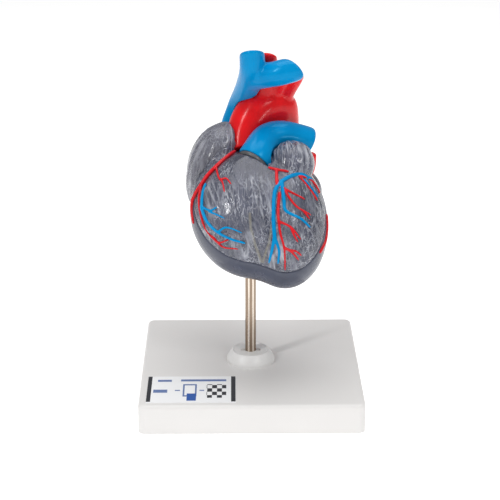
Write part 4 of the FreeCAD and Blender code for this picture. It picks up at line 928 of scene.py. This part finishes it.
def build_coronaries():
    coronary("right_coronary_artery", "front_wall", [
        (0.85, 0.9, RIGHT_CORONARY),
        (0.65, 0.35, [(-31.5, 8.5), (-32.5, 0.5), (-31.5, -8), (-28.5, -16.5), (-22.5, -23.5), (-17, -24)]),
        (0.45, 0.3, [(-25.5, -20), (-20, -26), (-12, -28.5)]),
        (0.5, 0.3, [(-23.5, 18), (-22, 10), (-20, 6), (-19, 0)]),
        (0.4, 0.28, [(-21, 8), (-18, 8), (-15.5, 4)])], CORONARY_RED)
    coronary("left_anterior_artery", "front_wall", [
        (0.75, 0.8, [(8.5, 13.5), (8.5, 6), (9, 1.5)]),
        (0.8, 0.4, [(9.8, -2), (9, -10), (9, -16), (10, -23.5), (12, -30.5), (12.5, -38.5)]),
        (0.55, 0.65, [(4.5, 14.5), (8.5, 13.5), (14.5, 12.5)]),
        (0.55, 0.32, [(9.2, -17.5), (15.5, -20.5), (20.5, -25.5)]),
        (0.5, 0.28, [(15.5, -20.5), (17, -24), (19, -27)]),
        (0.6, 0.32, [(12, -30), (15.5, -31.5), (19.5, -34.5)]),
        (0.4, 0.28, [(14.5, -31), (18, -31.2), (21, -32.5)]),
        (0.6, 0.32, [(10.5, 2), (16.5, -1.5), (23, -4)]),
        (0.65, 0.32, [(12.5, 0.5), (14.5, -4), (19, -9.5), (26, -12)]),
        (0.45, 0.28, [(22, -10.8), (25.5, -14.5)])], CORONARY_RED)
    coronary("left_diagonal_arteries", "front_wall", [
        (0.65, 0.5, [(20.5, 10.5), (25, 11.5), (29, 9.5), (31.5, 5.5)]),
        (0.5, 0.32, [(20.5, 10.5), (26.5, 3), (30, -1.5)])], CORONARY_RED)
    coronary("great_cardiac_vein", "front_wall", [
        (0.95, 1.0, [(27, 11.5), (22, 12), (18, 10.8), (12.8, 7), (9.5, 3), (7.2, -2), (6.5, -15), (7, -25)]),
        (0.85, 0.5, [(7, -25), (5.5, -31), (4.2, -35)]),
        (0.75, 0.5, [(7, -25), (9.3, -31), (8.8, -36)]),
        (1.0, 0.45, [(11, 5.5), (12, -5.5), (13, -12), (21, -15.5), (25.5, -18.5)]),
        (0.5, 0.35, [(23, 9), (27, 5), (30.5, 1.5)])], BLUE)
    coronary("small_cardiac_vein", "front_wall", [
        (0.5, 0.85, [(-29, 8.5), (-30.5, 3), (-31, -5)]),
        (0.85, 0.45, [(-31, -5), (-28, -13), (-22.5, -19.5), (-15.5, -24), (-8.5, -26.5)]),
        (0.6, 0.3, [(-31.3, -4), (-26.5, -8), (-23, -7.5)]),
        (0.5, 0.3, [(-27, -8.5), (-19, -14)]),
        (0.55, 0.3, [(-22.5, -19.5), (-18, -18.5), (-10, -22)])], BLUE)
    coronary("right_marginal_artery", "heart", [
        (1.05, 0.7, [(-35.8, 4.5), (-36.4, -1), (-35.6, -8)])], CORONARY_RED)
    coronary("left_marginal_artery", "heart", [
        (0.7, 0.9, [(35.3, -5), (35.3, -12), (34.2, -19.5), (31.3, -26.5)])], CORONARY_RED)
    coronary("posterior_artery", "heart", [
        (1.2, 0.6, [(3, 6), (3, -2), (3.5, -12), (4, -22), (3, -31)]),
        (0.8, 0.4, [(3, -2), (-6, -5), (-15, -12)])], CORONARY_RED, 1)
    coronary("middle_cardiac_vein", "heart", [
        (1.2, 0.6, [(8, 3), (7.5, -6), (7.5, -15), (8, -26)]),
        (0.8, 0.4, [(7.5, -10), (14, -18), (18, -27)])], BLUE, 1)
    coronary("coronary_sinus", "heart", [
        (1.3, 1.8, [(31, 2), (26, 4), (17, 5), (6, 5), (-5, 4)])], BLUE, 1)


build_rear_shell()
build_front_shell()
build_conus_band()
build_great_vessels()
build_right_atrium()
build_left_atrium()
build_left_auricle()
build_coronaries()

# ------------------------------------------------------------------ CAD nodes that stay
KEPT = {
    "base_plate": white_gloss(),
    "base_cover": satin("cover_plastic", (0.6, 0.6, 0.59)),
    "cover_screws": satin("screw_metal", (0.4, 0.4, 0.4), 0.3),
    "rod_collar": satin("collar_plastic", (0.94, 0.93, 0.915), 0.35),
    "support_rod": steel(),
    "label": label_print(),
    "rod_socket": satin("socket_plastic", (0.2, 0.2, 0.22)),
    "locating_pins": satin("pin_plastic", (0.3, 0.3, 0.32)),
}
VALVES = ["tricuspid", "mitral", "aortic", "pulmonary"]
KEPT.update({name + "_valve": satin(name + "_film", (0.6, 0.6, 0.58)) for name in VALVES})
KEPT.update({side + "_papillary_muscles": MUSCLE_CLEAR for side in ("right", "left")})
CONDUCTION = ["sinoatrial_node", "atrioventricular_node", "internodal_tracts", "right_bundle_branch",
              "left_bundle_branch"]
KEPT.update({name: YELLOW for name in CONDUCTION})
for name, material in KEPT.items():
    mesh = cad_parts[name].data
    mesh.materials.clear()
    mesh.materials.append(material)

# ------------------------------------------------------------------ floor, light and camera
LIGHTS = [  # name, place, where it points, size and power in watts
    ("left_box", (-0.75, -0.65, 0.85), (0, 0, 0.1), (0.09, 0.5), 4.2),
    ("right_box", (0.6, -0.75, 0.95), (0, 0, 0.1), (0.3, 0.35), 3.0),
    ("top_box", (0, 0.15, 1.3), (0, 0, 0), (1.2, 1.0), 9.5),
    ("front_box", (0.9, -0.85, 0.12), (0, 0, 0.15), (0.1, 0.14), 0.6),
]
FLOOR_REACH = 6.0
CAMERA_PLACE, CAMERA_DOWN, CAMERA_TURN = (-0.009398, -0.81092, 0.37539), 19.94, -0.641  # angles in degrees
CAMERA_LENS, CAMERA_SENSOR = 113.94, 36.0


def area_light(name, place, aim, size, power):
    """A soft box that points at a place."""
    lamp = bpy.data.lights.new(name, "AREA")
    lamp.shape, lamp.size, lamp.size_y = "RECTANGLE", *size
    lamp.energy = power
    light = bpy.data.objects.new(name, lamp)
    light.location = place
    light.rotation_euler = (Vector(aim) - Vector(place)).to_track_quat("-Z", "Y").to_euler()
    bpy.context.scene.collection.objects.link(light)


def build_floor():
    """A plain pale floor that runs past the picture's edges."""
    mesh = bpy.data.meshes.new("floor")
    corners = [(x * FLOOR_REACH, y * FLOOR_REACH, 0) for x, y in ((-1, -1), (1, -1), (1, 1), (-1, 1))]
    mesh.from_pydata(corners, [], [(0, 1, 2, 3)])
    floor = bpy.data.objects.new("floor", mesh)
    bpy.context.scene.collection.objects.link(floor)
    s = Shader("floor_paper")
    s.set(Base_Color=s.mix(s.noise(s.places(), 0.02), (0.9, 0.9, 0.9), (0.88, 0.88, 0.88)), Roughness=0.7)
    s.set(Emission_Color=(1, 1, 1, 1), Emission_Strength=0.5)
    mesh.materials.append(s.material)


def build_world():
    """Even white light from all round."""
    world = bpy.data.worlds.new("studio")
    bpy.context.scene.world = world
    world.use_nodes = True
    background = world.node_tree.nodes["Background"]
    background.inputs["Color"].default_value = (1, 1, 1, 1)
    background.inputs["Strength"].default_value = 0.3


def build_camera():
    """The camera that the photograph was matched with."""
    camera = bpy.data.cameras.new("camera")
    camera.lens, camera.sensor_width = CAMERA_LENS, CAMERA_SENSOR
    camera.clip_start, camera.clip_end = 0.05, 20
    viewer = bpy.data.objects.new("camera", camera)
    viewer.location = CAMERA_PLACE
    viewer.rotation_euler = (math.radians(90 - CAMERA_DOWN), 0, math.radians(CAMERA_TURN))
    bpy.context.scene.collection.objects.link(viewer)
    bpy.context.scene.camera = viewer


build_floor()
build_world()
for each_light in LIGHTS:
    area_light(*each_light)
build_camera()
bpy.context.scene.view_settings.view_transform = "Standard"
